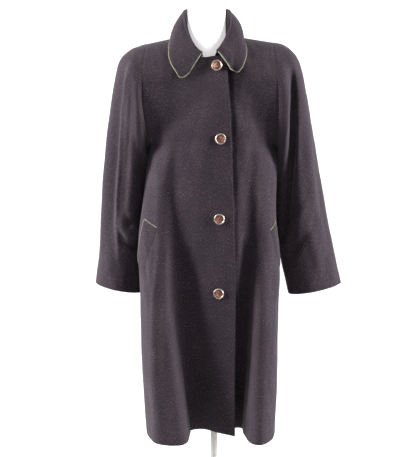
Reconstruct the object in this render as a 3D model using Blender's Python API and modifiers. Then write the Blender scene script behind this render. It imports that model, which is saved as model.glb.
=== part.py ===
"""A loden coat, buttoned and hung as worn on a limbless dress form with a round base.

Metres, Z up. The coat faces -Y, so the wearer's right side is at -X.
The origin is on the floor, under the middle of the pole.
"""
import math

import bmesh
import bpy
import numpy as np
from mathutils import Vector
from mathutils.bvhtree import BVHTree

# Cloth and seams
WALL = 0.0025
SEAM_GAP = 0.0003
LAID_ON = 0.0005
COAT_X = -0.012

# Mesh fineness
COLUMNS = 15
SKIRT_ROWS = 13
YOKE_ROWS = 12
SLEEVE_ROWS = 13
COLLAR_COLUMNS = 32

# A full ellipse quarter leaves its ends with this pull, a straight line with 1
ROUND = 1.66

# Side seams and armholes: step (0 hem, 1 armpit, 2 shoulder tip), x, y, z
SIDE_RIGHT = (
    (0.00, -0.172, 0.005, 0.316),
    (0.30, -0.181, 0.010, 0.551),
    (0.49, -0.180, 0.010, 0.700),
    (0.63, -0.174, 0.008, 0.810),
    (0.77, -0.169, 0.006, 0.920),
    (0.89, -0.167, 0.004, 1.014),
    (0.95, -0.166, 0.002, 1.060),
    (1.00, -0.160, 0.000, 1.100),
)
SIDE_LEFT = (
    (0.00, 0.174, 0.005, 0.316),
    (0.30, 0.180, 0.010, 0.551),
    (0.49, 0.180, 0.010, 0.700),
    (0.63, 0.177, 0.008, 0.810),
    (0.77, 0.173, 0.006, 0.920),
    (0.89, 0.175, 0.004, 1.014),
    (0.95, 0.175, 0.002, 1.060),
    (1.00, 0.170, 0.000, 1.100),
)
ARMHOLE_FRONT_RIGHT = (
    (1.00, -0.160, 0.000, 1.100),
    (1.10, -0.162, -0.026, 1.108),
    (1.22, -0.168, -0.052, 1.137),
    (1.36, -0.175, -0.073, 1.180),
    (1.52, -0.180, -0.083, 1.236),
    (1.68, -0.180, -0.078, 1.288),
    (1.82, -0.175, -0.056, 1.335),
    (1.92, -0.171, -0.027, 1.361),
    (2.00, -0.169, -0.002, 1.371),
)
ARMHOLE_FRONT_LEFT = (
    (1.00, 0.170, 0.000, 1.100),
    (1.10, 0.172, -0.026, 1.108),
    (1.22, 0.176, -0.052, 1.137),
    (1.36, 0.179, -0.072, 1.180),
    (1.52, 0.178, -0.082, 1.236),
    (1.68, 0.174, -0.076, 1.290),
    (1.82, 0.169, -0.054, 1.338),
    (1.92, 0.167, -0.026, 1.365),
    (2.00, 0.166, -0.002, 1.375),
)
ARMHOLE_BACK_RIGHT = (
    (1.00, -0.160, 0.000, 1.100),
    (1.10, -0.162, 0.028, 1.108),
    (1.22, -0.168, 0.056, 1.137),
    (1.36, -0.175, 0.078, 1.180),
    (1.52, -0.180, 0.088, 1.236),
    (1.68, -0.180, 0.081, 1.288),
    (1.82, -0.175, 0.057, 1.335),
    (1.92, -0.171, 0.026, 1.361),
    (2.00, -0.169, -0.002, 1.371),
)
ARMHOLE_BACK_LEFT = (
    (1.00, 0.170, 0.000, 1.100),
    (1.10, 0.172, 0.028, 1.108),
    (1.22, 0.176, 0.056, 1.137),
    (1.36, 0.179, 0.078, 1.180),
    (1.52, 0.178, 0.088, 1.236),
    (1.68, 0.174, 0.080, 1.290),
    (1.82, 0.169, 0.056, 1.338),
    (1.92, 0.167, 0.025, 1.365),
    (2.00, 0.166, -0.002, 1.375),
)

# Front edges, centre back and necklines: step, x, y, z
EDGE_FRONT_RIGHT = (
    (0.00, 0.066, -0.120, 0.316),
    (0.42, 0.066, -0.113, 0.642),
    (0.76, 0.060, -0.110, 0.912),
    (1.08, 0.054, -0.107, 1.163),
    (1.30, 0.048, -0.094, 1.262),
    (1.50, 0.043, -0.072, 1.335),
    (1.62, 0.014, -0.069, 1.339),
    (1.74, -0.020, -0.065, 1.337),
    (1.84, -0.048, -0.051, 1.359),
    (1.92, -0.063, -0.028, 1.380),
    (2.00, -0.068, -0.003, 1.393),
)
EDGE_FRONT_LEFT = (
    (0.00, 0.008, -0.076, 0.316),
    (0.42, -0.002, -0.094, 0.642),
    (0.76, -0.004, -0.101, 0.912),
    (1.08, -0.005, -0.100, 1.163),
    (1.30, -0.006, -0.084, 1.262),
    (1.50, -0.006, -0.062, 1.333),
    (1.62, 0.010, -0.059, 1.337),
    (1.74, 0.025, -0.052, 1.348),
    (1.84, 0.039, -0.040, 1.363),
    (1.92, 0.048, -0.023, 1.381),
    (2.00, 0.051, -0.003, 1.393),
)
CENTRE_BACK = (
    (0.00, -0.004, 0.142, 0.316),
    (0.42, -0.005, 0.128, 0.642),
    (0.76, -0.006, 0.116, 0.912),
    (1.08, -0.008, 0.110, 1.163),
    (1.40, -0.009, 0.098, 1.290),
    (1.62, -0.010, 0.074, 1.352),
    (1.74, -0.010, 0.054, 1.386),
)
BACK_NECK_RIGHT = CENTRE_BACK + (
    (1.84, -0.036, 0.050, 1.388),
    (1.92, -0.060, 0.029, 1.391),
    (2.00, -0.068, -0.003, 1.393),
)
BACK_NECK_LEFT = CENTRE_BACK + (
    (1.84, 0.018, 0.050, 1.388),
    (1.92, 0.042, 0.029, 1.391),
    (2.00, 0.051, -0.003, 1.393),
)

# How a row crosses a panel: step, slope at the inner edge, turn at the outer edge
# in degrees (0 runs on outwards, 90 turns to the other half), fullness
ROW_FRONT_RIGHT = (
    (0.00, -0.20, 108, 1.66),
    (0.63, -0.14, 112, 1.90),
    (0.88, -0.10, 106, 1.82),
    (1.00, -0.10, 88, 1.72),
    (1.10, -0.10, 74, 1.65),
    (1.25, -0.08, 42, 1.45),
    (1.50, -0.04, 30, 1.25),
    (1.80, 0.00, 18, 1.10),
    (2.00, 0.00, 0, 1.00),
)
ROW_FRONT_LEFT = (
    (0.00, 0.00, 108, 1.66),
    (0.63, 0.00, 108, 1.85),
    (0.88, 0.00, 106, 1.82),
    (1.00, 0.00, 88, 1.72),
    (1.10, 0.00, 70, 1.65),
    (1.25, 0.00, 42, 1.45),
    (1.50, 0.00, 30, 1.25),
    (1.80, 0.00, 18, 1.10),
    (2.00, 0.00, 0, 1.00),
)
ROW_BACK_RIGHT = (
    (0.00, 0.00, 72, 1.66),
    (0.63, 0.00, 68, 1.66),
    (1.00, 0.00, 76, 1.70),
    (1.10, 0.00, 70, 1.60),
    (1.25, 0.00, 42, 1.45),
    (1.50, 0.00, 30, 1.25),
    (1.80, 0.00, 18, 1.10),
    (2.00, 0.00, 0, 1.00),
)
ROW_BACK_LEFT = (
    (0.00, 0.00, 72, 1.66),
    (0.63, 0.00, 72, 1.66),
    (1.00, 0.00, 76, 1.70),
    (1.10, 0.00, 70, 1.60),
    (1.25, 0.00, 42, 1.45),
    (1.50, 0.00, 30, 1.25),
    (1.80, 0.00, 18, 1.10),
    (2.00, 0.00, 0, 1.00),
)

# Where the folds stand at the hem: share of the row, x, y, height where it starts, power
FOLDS_FRONT_RIGHT = (
    (0.00, 0.066, -0.120, 1.15, 1.3),
    (0.12, 0.040, -0.104, 1.15, 1.3),
    (0.24, 0.008, -0.088, 1.15, 1.3),
    (0.36, -0.026, -0.078, 1.15, 1.2),
    (0.43, -0.045, -0.077, 1.15, 1.2),
    (0.48, -0.053, -0.110, 1.15, 1.2),
    (0.53, -0.058, -0.160, 1.15, 1.2),
    (0.60, -0.080, -0.188, 1.15, 1.3),
    (0.70, -0.112, -0.190, 1.10, 1.3),
    (0.79, -0.146, -0.163, 1.05, 1.2),
    (0.87, -0.169, -0.116, 1.05, 1.2),
    (0.94, -0.177, -0.062, 1.00, 1.2),
    (1.00, -0.172, 0.005, 1.00, 1.2),
)
FOLDS_FRONT_LEFT = (
    (0.00, 0.008, -0.076, 1.05, 1.4),
    (0.12, 0.036, -0.086, 1.05, 1.4),
    (0.24, 0.062, -0.078, 1.05, 1.3),
    (0.32, 0.077, -0.060, 1.05, 1.2),
    (0.38, 0.087, -0.070, 1.05, 1.2),
    (0.44, 0.094, -0.118, 1.05, 1.2),
    (0.50, 0.104, -0.164, 1.05, 1.3),
    (0.58, 0.128, -0.184, 1.05, 1.3),
    (0.68, 0.153, -0.168, 1.05, 1.3),
    (0.79, 0.172, -0.128, 1.05, 1.2),
    (0.90, 0.180, -0.066, 1.00, 1.2),
    (1.00, 0.174, 0.005, 1.00, 1.2),
)
FOLDS_BACK_RIGHT = (
    (0.00, -0.004, 0.142, 1.10, 1.2),
    (0.20, -0.040, 0.166, 1.10, 1.2),
    (0.42, -0.082, 0.138, 1.10, 1.2),
    (0.62, -0.126, 0.144, 1.10, 1.2),
    (0.82, -0.163, 0.085, 1.10, 1.2),
    (1.00, -0.172, 0.005, 1.00, 1.2),
)
FOLDS_BACK_LEFT = (
    (0.00, -0.004, 0.142, 1.10, 1.2),
    (0.22, 0.040, 0.150, 1.10, 1.2),
    (0.42, 0.086, 0.160, 1.10, 1.2),
    (0.62, 0.130, 0.128, 1.10, 1.2),
    (0.82, 0.166, 0.082, 1.10, 1.2),
    (1.00, 0.174, 0.005, 1.00, 1.2),
)

# Sleeve rings: step, overarm x, y, z, underarm x, y, z, half depth
RINGS_RIGHT = (
    (0.10, -0.206, -0.001, 1.359, -0.173, 0.004, 1.089, 0.091),
    (0.22, -0.243, 0.000, 1.323, -0.168, 0.018, 1.052, 0.089),
    (0.34, -0.262, 0.004, 1.241, -0.169, 0.038, 1.014, 0.081),
    (0.50, -0.281, 0.014, 1.110, -0.164, 0.048, 0.956, 0.073),
    (0.68, -0.297, 0.028, 0.950, -0.167, 0.038, 0.872, 0.064),
    (0.84, -0.306, 0.040, 0.815, -0.182, 0.020, 0.776, 0.060),
    (1.00, -0.317, 0.048, 0.714, -0.191, 0.004, 0.691, 0.058),
)
RINGS_LEFT = (
    (0.10, 0.200, -0.001, 1.365, 0.183, 0.004, 1.089, 0.090),
    (0.22, 0.237, 0.000, 1.327, 0.181, 0.018, 1.052, 0.088),
    (0.34, 0.260, 0.004, 1.239, 0.180, 0.038, 1.014, 0.081),
    (0.50, 0.286, 0.014, 1.105, 0.176, 0.048, 0.956, 0.073),
    (0.68, 0.316, 0.026, 0.950, 0.177, 0.038, 0.877, 0.064),
    (0.84, 0.342, 0.036, 0.818, 0.196, 0.016, 0.786, 0.058),
    (1.00, 0.365, 0.044, 0.714, 0.219, -0.002, 0.688, 0.054),
)

# Folds down the sleeves: step, angle round the ring in degrees, depth
TROUGH_LEFT = (
    (0.06, 42, 0.000),
    (0.16, 62, 0.010),
    (0.26, 82, 0.015),
    (0.38, 96, 0.016),
    (0.52, 106, 0.015),
    (0.68, 118, 0.012),
    (0.84, 136, 0.000),
)
RIDGE_RIGHT = (
    (0.06, 50, 0.000),
    (0.16, 62, -0.005),
    (0.26, 74, -0.007),
    (0.38, 86, -0.007),
    (0.52, 92, -0.007),
    (0.68, 98, -0.007),
    (0.86, 108, 0.000),
)
FOLD_HALF_ANGLE = 30

# Collar, from the wearer's right end round the back:
# name, roll x, y, z, leaf edge x, y, z, how far the leaf bulges
COLLAR = (
    ("right end", -0.021, -0.071, 1.350, -0.053, -0.086, 1.301, 0.002),
    ("right tip", -0.024, -0.070, 1.352, -0.066, -0.088, 1.288, 0.002),
    ("right corner", -0.028, -0.069, 1.355, -0.078, -0.087, 1.285, 0.002),
    ("right point", -0.034, -0.066, 1.360, -0.088, -0.082, 1.297, 0.003),
    ("right front", -0.046, -0.058, 1.375, -0.102, -0.072, 1.318, 0.003),
    ("right bend", -0.058, -0.044, 1.401, -0.109, -0.054, 1.348, 0.004),
    ("right side", -0.066, -0.024, 1.436, -0.109, -0.026, 1.380, 0.006),
    ("right shoulder", -0.069, 0.000, 1.456, -0.106, 0.014, 1.390, 0.007),
    ("right back", -0.056, 0.040, 1.464, -0.078, 0.062, 1.372, 0.007),
    ("centre back", -0.010, 0.064, 1.466, -0.010, 0.096, 1.358, 0.006),
    ("left back", 0.036, 0.040, 1.464, 0.060, 0.062, 1.374, 0.009),
    ("left shoulder", 0.051, 0.000, 1.456, 0.087, 0.014, 1.391, 0.010),
    ("left side", 0.051, -0.024, 1.437, 0.091, -0.026, 1.383, 0.007),
    ("left bend", 0.044, -0.044, 1.402, 0.095, -0.052, 1.352, 0.006),
    ("left front", 0.034, -0.058, 1.378, 0.088, -0.070, 1.320, 0.003),
    ("left point", 0.025, -0.067, 1.365, 0.079, -0.078, 1.306, 0.003),
    ("left corner", 0.020, -0.070, 1.359, 0.068, -0.085, 1.299, 0.002),
    ("left end", 0.016, -0.072, 1.355, 0.052, -0.086, 1.309, 0.002),
)
COLLAR_FOLD_RADIUS = 0.0042
COLLAR_LIFT = 0.0022
COLLAR_INSET = 0.0012
COLLAR_LAID = 0.0010

# Buttons down the front: x, z
BUTTONS = (
    (0.017, 1.314),
    (0.026, 1.125),
    (0.024, 0.913),
    (0.023, 0.711),
)
BUTTON_RADIUS = 0.0145
BUTTON_HEIGHT = 0.0052
BUTTON_SEAT = 0.0006

# Pocket welts: share of the row and height at each corner, top inner corner first
WELT_RIGHT = ((0.605, 0.886), (0.745, 0.905), (0.88, 0.790), (0.77, 0.768))
WELT_LEFT = ((0.64, 0.876), (0.76, 0.900), (0.92, 0.796), (0.82, 0.770))
WELT_WALL = 0.0022
WELT_LIFT = 0.0014
PIPING_RADIUS = 0.0013
PIPING_LIFT = 0.0014
PIPING_SPLIT = 3

# Dress form: name, middle x, z at the front, back and sides, half width, front and back depth
FORM_RINGS = (
    ("seat", 0.012, 0.780, 0.780, 0.780, 0.118, 0.072, 0.082),
    ("hip", 0.010, 0.880, 0.880, 0.880, 0.136, 0.082, 0.092),
    ("waist", 0.006, 1.010, 1.010, 1.010, 0.118, 0.074, 0.078),
    ("chest", 0.000, 1.170, 1.170, 1.170, 0.136, 0.080, 0.086),
    ("arm", -0.002, 1.262, 1.270, 1.300, 0.145, 0.066, 0.070),
    ("shoulder", -0.001, 1.314, 1.328, 1.3709, 0.144, 0.043, 0.044),
    ("slope", -0.006, 1.332, 1.350, 1.3769, 0.098, 0.046, 0.041),
    ("neck base", -0.010, 1.350, 1.369, 1.3825, 0.0510, 0.052, 0.043),
    ("neck", -0.010, 1.400, 1.405, 1.410, 0.0505, 0.053, 0.046),
    ("neck top", -0.010, 1.490, 1.490, 1.490, 0.0495, 0.051, 0.048),
)
FRONT_FULLNESS = 2.2
FORM_SIDES = 28
FORM_ROWS = 18
CAP_HEIGHT = 0.012
POLE_RADIUS = 0.010
BASE_RADIUS = 0.190
BASE_HEIGHT = 0.016

COLOURS = {
    "loden": ((0.045, 0.036, 0.046, 1.0), 0.95, 0.0),
    "piping": ((0.30, 0.33, 0.20, 1.0), 0.8, 0.0),
    "button": ((0.42, 0.30, 0.24, 1.0), 0.35, 0.8),
    "form": ((0.86, 0.85, 0.83, 1.0), 0.6, 0.0),
    "metal": ((0.80, 0.79, 0.77, 1.0), 0.35, 0.6),
}


def smooth(at, stations, values):
    """Cubic curve through the values at the stations, read at the given places."""
    stations = np.asarray(stations, float)
    values = np.asarray(values, float)
    slopes = np.gradient(values, stations, axis=0)
    widths = np.diff(stations).reshape((-1,) + (1,) * (values.ndim - 1))
    rates = np.abs(np.diff(values, axis=0)) / widths
    before = np.concatenate([rates[:1], rates])
    after = np.concatenate([rates, rates[-1:]])
    limit = 3 * np.minimum(before, after)
    slopes = np.clip(slopes, -limit, limit)
    place = np.clip(at, stations[0], stations[-1])
    k = np.clip(np.searchsorted(stations, place, side="right") - 1, 0, len(stations) - 2)
    step = stations[k + 1] - stations[k]
    t = (place - stations[k]) / step
    if values.ndim > 1:
        t = t[..., None]
        step = step[..., None]
    rise = t * t * (3 - 2 * t)
    start = values[k] * (1 - rise) + slopes[k] * step * t * (1 - t) ** 2
    return start + values[k + 1] * rise + slopes[k + 1] * step * t * t * (t - 1)


def curve(table, at):
    """Points of a table of step, x, y, z at the given steps."""
    rows = np.array(table)
    return smooth(at, rows[:, 0], rows[:, 1:])


def share_along(line):
    """How far along the line each of its points lies, from 0 to 1."""
    lengths = np.linalg.norm(np.diff(line, axis=0), axis=1)
    along = np.concatenate([[0], np.cumsum(lengths)])
    return along / along[-1]


def outer_edge(side, armhole, steps):
    """The side seam up to the armpit, then the armhole."""
    below = curve(side, np.minimum(steps, 1.0))
    above = curve(armhole, np.maximum(steps, 1.0))
    return np.where((steps < 1.0)[:, None], below, above)


def crossing(u, start, end, start_pull, end_pull):
    """A cubic row from start to end, leaving and arriving along the two pulls."""
    rise = u * u * (3 - 2 * u)
    bend = start_pull * u * (1 - u) ** 2 + end_pull * u * u * (u - 1)
    return start * (1 - rise) + end * rise + bend


def panel(inner, outer, rows, folds, steps, shares, facing):
    """A panel's outer surface: one row across it for each step up the coat.

    facing is -1 on the front and +1 on the back.
    """
    row = np.array(rows)
    lean, turn, full = smooth(steps, row[:, 0], row[:, 1:]).T
    turn = np.radians(turn)
    span = outer - inner
    straight = np.clip((ROUND - full) / (ROUND - 1.0), 0.0, 1.0)
    depth = -facing * np.abs(span[:, 1])
    reach = np.abs(span[:, 0])
    start_y = straight * span[:, 1] + lean * reach
    start_pull = np.stack([full * span[:, 0], start_y, span[:, 2]], 1)
    end_x = full * span[:, 0] * np.cos(turn)
    end_y = full * depth * np.sin(turn) + straight * span[:, 1]
    end_pull = np.stack([end_x, end_y, span[:, 2]], 1)
    u = shares[None, :, None]
    points = crossing(u, inner[:, None], outer[:, None], start_pull[:, None], end_pull[:, None])
    return points + hem_folds(points, folds, steps, shares)


def hem_folds(points, folds, steps, shares):
    """How far the folds move each point: nothing at their start, all of it at the hem."""
    fold = np.array(folds)
    target_x, target_y, top, power = smooth(shares, fold[:, 0], fold[:, 1:]).T
    hem_z = points[0, :, 2]
    fall = np.clip((top[None] - points[:, :, 2]) / (top - hem_z)[None], 0.0, 1.0) ** power[None]
    move = np.zeros_like(points)
    move[..., 0] = fall * (target_x - points[0, :, 0])[None]
    move[..., 1] = fall * (target_y - points[0, :, 1])[None]
    return move


def sleeve(armhole, angles, rings, fold, steps):
    """A sleeve's outer surface, from the armhole's own points through the rings to the cuff."""
    ring = np.array(rings)
    over, under, half = ring[:, None, 1:4], ring[:, None, 4:7], ring[:, None, 7:8]
    middle = (over + under) / 2
    long_way = (over - under) / 2
    along = long_way / np.linalg.norm(long_way, axis=2, keepdims=True)
    front = np.array([0.0, -1.0, 0.0])
    short_way = front - along * (along @ front)[..., None]
    short_way = short_way / np.linalg.norm(short_way, axis=2, keepdims=True) * half
    lengthwise = long_way * np.cos(angles)[None, :, None]
    round_ring = middle + lengthwise + short_way * np.sin(angles)[None, :, None]
    guides = np.concatenate([armhole[None], round_ring])
    places = np.concatenate([[0.0], ring[:, 0]])
    points = smooth(steps, places, guides.reshape(len(places), -1)).reshape(len(steps), -1, 3)
    return points + sleeve_fold(points, angles, fold, steps)


def sleeve_fold(points, angles, fold, steps):
    """A soft trough down the sleeve, or a ridge where its depth is negative."""
    row = np.array(fold)
    place, depth = smooth(steps, row[:, 0], row[:, 1:]).T
    depth = np.where((steps < row[0, 0]) | (steps > row[-1, 0]), 0.0, depth)
    away = (np.degrees(angles)[None] - place[:, None] + 180) % 360 - 180
    share = np.clip(1 - (away / FOLD_HALF_ANGLE) ** 2, 0.0, 1.0) ** 2
    middle = points.mean(axis=1, keepdims=True)
    inwards = middle - points
    inwards = inwards / np.linalg.norm(inwards, axis=2, keepdims=True)
    return inwards * (share * depth[:, None])[..., None]


class Patch:
    """A grid of outer points, with the way it faces and whether its columns close round."""

    def __init__(self, points, flip, ring=False):
        self.points = points
        self.flip = flip
        self.ring = ring
        self.normals = np.zeros_like(points)
        self.trimmed = points.copy()
        self.inner = points.copy()

    def quads(self):
        rows, columns = self.points.shape[:2]
        ids = np.arange(rows * columns).reshape(rows, columns)
        if self.ring:
            ids = np.concatenate([ids, ids[:, :1]], axis=1)
        a, b, c, d = ids[:-1, :-1], ids[:-1, 1:], ids[1:, 1:], ids[1:, :-1]
        faces = np.stack([a, b, c, d], axis=2).reshape(-1, 4)
        return faces[:, ::-1] if self.flip else faces


def key(point):
    return tuple(np.round(point, 6))


def share_normals(patches):
    """Point normals averaged over every patch that meets at the point."""
    total = {}
    for patch in patches:
        flat = patch.points.reshape(-1, 3)
        faces = patch.quads()
        across = flat[faces[:, 2]] - flat[faces[:, 0]]
        up = flat[faces[:, 3]] - flat[faces[:, 1]]
        face_normals = np.cross(across, up)
        size = np.linalg.norm(face_normals, axis=1, keepdims=True)
        face_normals = face_normals / np.maximum(size, 1e-12)
        for face, normal in zip(faces, face_normals):
            for corner in face:
                place = key(flat[corner])
                total[place] = total.get(place, 0) + normal
    for patch in patches:
        flat = patch.points.reshape(-1, 3)
        normals = np.array([total[key(point)] for point in flat])
        normals = normals / np.linalg.norm(normals, axis=1, keepdims=True)
        patch.normals = normals.reshape(patch.points.shape)


def own_normals(patch):
    """Point normals of one patch alone, without its neighbours."""
    alone = Patch(patch.points, patch.flip, patch.ring)
    share_normals([alone])
    return alone.normals


def trim(patch, edges, gap=SEAM_GAP):
    """Draws the named edges back along and into the surface, so that seams stay parted."""
    moved = patch.points.copy()
    sunk = own_normals(patch) * gap
    if not patch.ring:
        sunk[-1] = 0
    ends = {"first row": (0, 1, 0), "last row": (-1, -2, 0), "last column": (-1, -2, 1)}
    for edge in edges:
        at, towards, axis = ends[edge]
        line = np.take(patch.points, at, axis)
        way = np.take(patch.points, towards, axis) - line
        way = way / np.maximum(np.linalg.norm(way, axis=-1, keepdims=True), 1e-9)
        if axis == 1:
            moved[:, at] += way * gap - sunk[:, at]
        elif patch.ring:
            moved[at] += way * gap - sunk[at]
        else:
            moved[at] += way * gap
    patch.trimmed = moved


def make_inner(patch, wall):
    patch.inner = patch.trimmed - patch.normals * wall


def wall_mesh(name, patches):
    """One closed wall from patches that share edges: outer side, inner side and rims."""
    index = {}
    outer = []
    inner = []
    faces = []
    for patch in patches:
        top = patch.trimmed.reshape(-1, 3)
        under = patch.inner.reshape(-1, 3)
        places = []
        for point, below in zip(top, under):
            place = key(point)
            if place not in index:
                index[place] = len(outer)
                outer.append(point)
                inner.append(below)
            places.append(index[place])
        faces += [tuple(places[corner] for corner in face) for face in patch.quads()]
    count = len(outer)
    used = {}
    for face in faces:
        for a, b in zip(face, face[1:] + face[:1]):
            used[(a, b)] = True
    rims = [(b, a, a + count, b + count) for a, b in used if (b, a) not in used]
    sides = [tuple(corner + count for corner in reversed(face)) for face in faces]
    mesh = bpy.data.meshes.new(name)
    points = np.array(outer + inner)
    points[:, 0] += COAT_X
    mesh.from_pydata(points.tolist(), [], faces + sides + rims)
    mesh.validate()
    return mesh


def material(name):
    colour, roughness, metallic = COLOURS[name]
    found = bpy.data.materials.get(name)
    if found:
        return found
    made = bpy.data.materials.new(name)
    made.use_nodes = True
    shader = made.node_tree.nodes["Principled BSDF"]
    shader.inputs["Base Color"].default_value = colour
    shader.inputs["Roughness"].default_value = roughness
    shader.inputs["Metallic"].default_value = metallic
    return made


def add_object(name, mesh, look, collection):
    made = bpy.data.objects.new(name, mesh)
    collection.objects.link(made)
    if not mesh.materials:
        mesh.materials.append(material(look))
    return made


def coat_patches(skirt_rows, yoke_rows, columns, sleeve_rows):
    """All panels and sleeves of the coat as patches, with shared seam points."""
    skirt_steps = np.linspace(0, 1, skirt_rows, endpoint=False)
    steps = np.concatenate([skirt_steps, np.linspace(1, 2, yoke_rows + 1)])
    shares = np.linspace(0, 1, columns + 1)
    layout = {
        "front_right": (EDGE_FRONT_RIGHT, SIDE_RIGHT, ARMHOLE_FRONT_RIGHT, ROW_FRONT_RIGHT,
                        FOLDS_FRONT_RIGHT, -1, True),
        "front_left": (EDGE_FRONT_LEFT, SIDE_LEFT, ARMHOLE_FRONT_LEFT, ROW_FRONT_LEFT,
                       FOLDS_FRONT_LEFT, -1, False),
        "back_right": (BACK_NECK_RIGHT, SIDE_RIGHT, ARMHOLE_BACK_RIGHT, ROW_BACK_RIGHT,
                       FOLDS_BACK_RIGHT, 1, False),
        "back_left": (BACK_NECK_LEFT, SIDE_LEFT, ARMHOLE_BACK_LEFT, ROW_BACK_LEFT,
                      FOLDS_BACK_LEFT, 1, True),
    }
    patches = {}
    for name, (inner, side, armhole, rows, folds, facing, flip) in layout.items():
        inner_edge = curve(inner, steps)
        edge = outer_edge(side, armhole, steps)
        points = panel(inner_edge, edge, rows, folds, steps, shares, facing)
        patches[name] = Patch(points, flip)
    sleeve_steps = np.linspace(0, 1, sleeve_rows + 1)
    sleeves = (("right", RINGS_RIGHT, RIDGE_RIGHT, True), ("left", RINGS_LEFT, TROUGH_LEFT, False))
    for side, rings, fold, flip in sleeves:
        front = patches["front_" + side].points[skirt_rows:, -1]
        back = patches["back_" + side].points[skirt_rows:, -1]
        armhole = np.concatenate([front[::-1], back[1:-1]])
        down = np.pi * share_along(front[::-1])
        up = np.pi + np.pi * share_along(back)
        angles = np.concatenate([down, up[1:-1]])
        points = sleeve(armhole, angles, rings, fold, sleeve_steps)
        patches["sleeve_" + side] = Patch(points, flip, ring=True)
    share_normals(list(patches.values()))
    return patches


def surface_tree(patches):
    """A search tree over the coat's outer surface, for what is laid on it."""
    points = []
    faces = []
    for patch in patches:
        start = len(points)
        points += patch.points.reshape(-1, 3).tolist()
        faces += [tuple(int(corner) + start for corner in face) for face in patch.quads()]
    return BVHTree.FromPolygons([Vector(point) for point in points], faces)


def add_coat(collection):
    patches = coat_patches(SKIRT_ROWS, YOKE_ROWS, COLUMNS, SLEEVE_ROWS)
    seams = ("last row", "last column")
    for name, patch in patches.items():
        if patch.ring:
            trim(patch, ("first row",), 2 * SEAM_GAP)
        else:
            trim(patch, seams)
        make_inner(patch, WALL)
    for name in ("front_right", "front_left", "sleeve_right", "sleeve_left"):
        add_object(name, wall_mesh(name, [patches[name]]), "loden", collection)
    back = [patches["back_right"], patches["back_left"]]
    add_object("back", wall_mesh("back", back), "loden", collection)
    return patches


def collar_patch(tree, columns):
    """The collar as one strip: up the stand, over the roll and down the leaf to its edge."""
    rows = np.array([row[1:] for row in COLLAR])
    stations = share_along(rows[:, :3])
    middle = stations[[row[0] for row in COLLAR].index("centre back")]
    at = np.linspace(0, 1, columns + 1)
    roll = smooth(at, stations, rows[:, :3])
    edge = smooth(at, stations, rows[:, 3:6])
    bulge_size = smooth(at, stations, rows[:, 6:])
    edge = laid_on(tree, edge, WALL + COLLAR_LAID)
    bottom = neckline(at, middle)
    along = np.gradient(roll, axis=0)
    along /= np.linalg.norm(along, axis=1, keepdims=True)
    outwards = np.cross([0.0, 0.0, 1.0], along)
    outwards /= np.linalg.norm(outwards, axis=1, keepdims=True)
    down = np.cross(outwards, along)
    down *= -np.sign(down[:, 2:3])
    radius = COLLAR_FOLD_RADIUS
    inside = roll - outwards * radius + down * radius
    outside = roll + outwards * radius + down * radius
    slant = edge - outside
    bulge = np.cross(slant, along)
    bulge *= np.sign(np.sum(bulge * outwards, axis=1))[:, None]
    bulge *= bulge_size / np.linalg.norm(bulge, axis=1, keepdims=True)
    strip = [bottom, (bottom + inside) / 2, inside]
    drop = down * radius * (1 - math.cos(math.radians(30)))
    strip += [roll - outwards * radius / 2 + drop, roll + outwards * radius / 2 + drop]
    leaf = [outside + slant * share + bulge * 4 * share * (1 - share) for share in (0.0, 0.3, 0.55, 0.8)]
    strip += [clear_of(tree, line, WALL + COLLAR_LAID) for line in leaf] + [edge]
    patch = Patch(np.array(strip), False)
    share_normals([patch])
    make_inner(patch, WALL)
    return patch


def neckline(at, middle):
    """The foot of the stand, just inside and above the necklines of the panels."""
    right = np.clip(at / middle, 0, 1)
    left = np.clip((1 - at) / (1 - middle), 0, 1)
    front_right = curve(EDGE_FRONT_RIGHT, 1.74 + 0.26 * np.minimum(right * 2, 1))
    back_right = curve(BACK_NECK_RIGHT, 2.0 - 0.26 * np.maximum(right * 2 - 1, 0))
    front_left = curve(EDGE_FRONT_LEFT, 1.64 + 0.36 * np.minimum(left * 2, 1))
    back_left = curve(BACK_NECK_LEFT, 2.0 - 0.26 * np.maximum(left * 2 - 1, 0))
    right_side = np.where((right < 0.5)[:, None], front_right, back_right)
    left_side = np.where((left < 0.5)[:, None], front_left, back_left)
    foot = np.where((at < middle)[:, None], right_side, left_side)
    centre = np.array([-0.010, 0.0, 0.0])
    inwards = centre - foot
    inwards[:, 2] = 0
    inwards /= np.linalg.norm(inwards, axis=1, keepdims=True)
    return foot + inwards * COLLAR_INSET + np.array([0.0, 0.0, COLLAR_LIFT])


def laid_on(tree, points, lift):
    """The nearest points on the coat, moved out by the lift."""
    laid = []
    for point in points:
        place, normal, face, away = tree.find_nearest(Vector(point))
        laid.append(np.array(place) + np.array(normal) * lift)
    return np.array(laid)


def clear_of(tree, points, lift):
    """The points, moved out where they would lie closer to the coat than the lift."""
    cleared = []
    for point in points:
        place, normal, face, away = tree.find_nearest(Vector(point))
        height = (Vector(point) - place).dot(normal)
        cleared.append(point + np.array(normal) * max(lift - height, 0.0))
    return np.array(cleared)


def piping(name, path, collection):
    """A round cord of cloth along a path of points."""
    data = bpy.data.curves.new(name, "CURVE")
    data.dimensions = "3D"
    data.bevel_depth = PIPING_RADIUS
    data.bevel_resolution = 1
    data.use_fill_caps = True
    spline = data.splines.new("POLY")
    spline.points.add(len(path) - 1)
    for spot, point in zip(spline.points, path):
        spot.co = (point[0] + COAT_X, point[1], point[2], 1.0)
    made = bpy.data.objects.new(name, data)
    collection.objects.link(made)
    data.materials.append(material("piping"))


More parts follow.
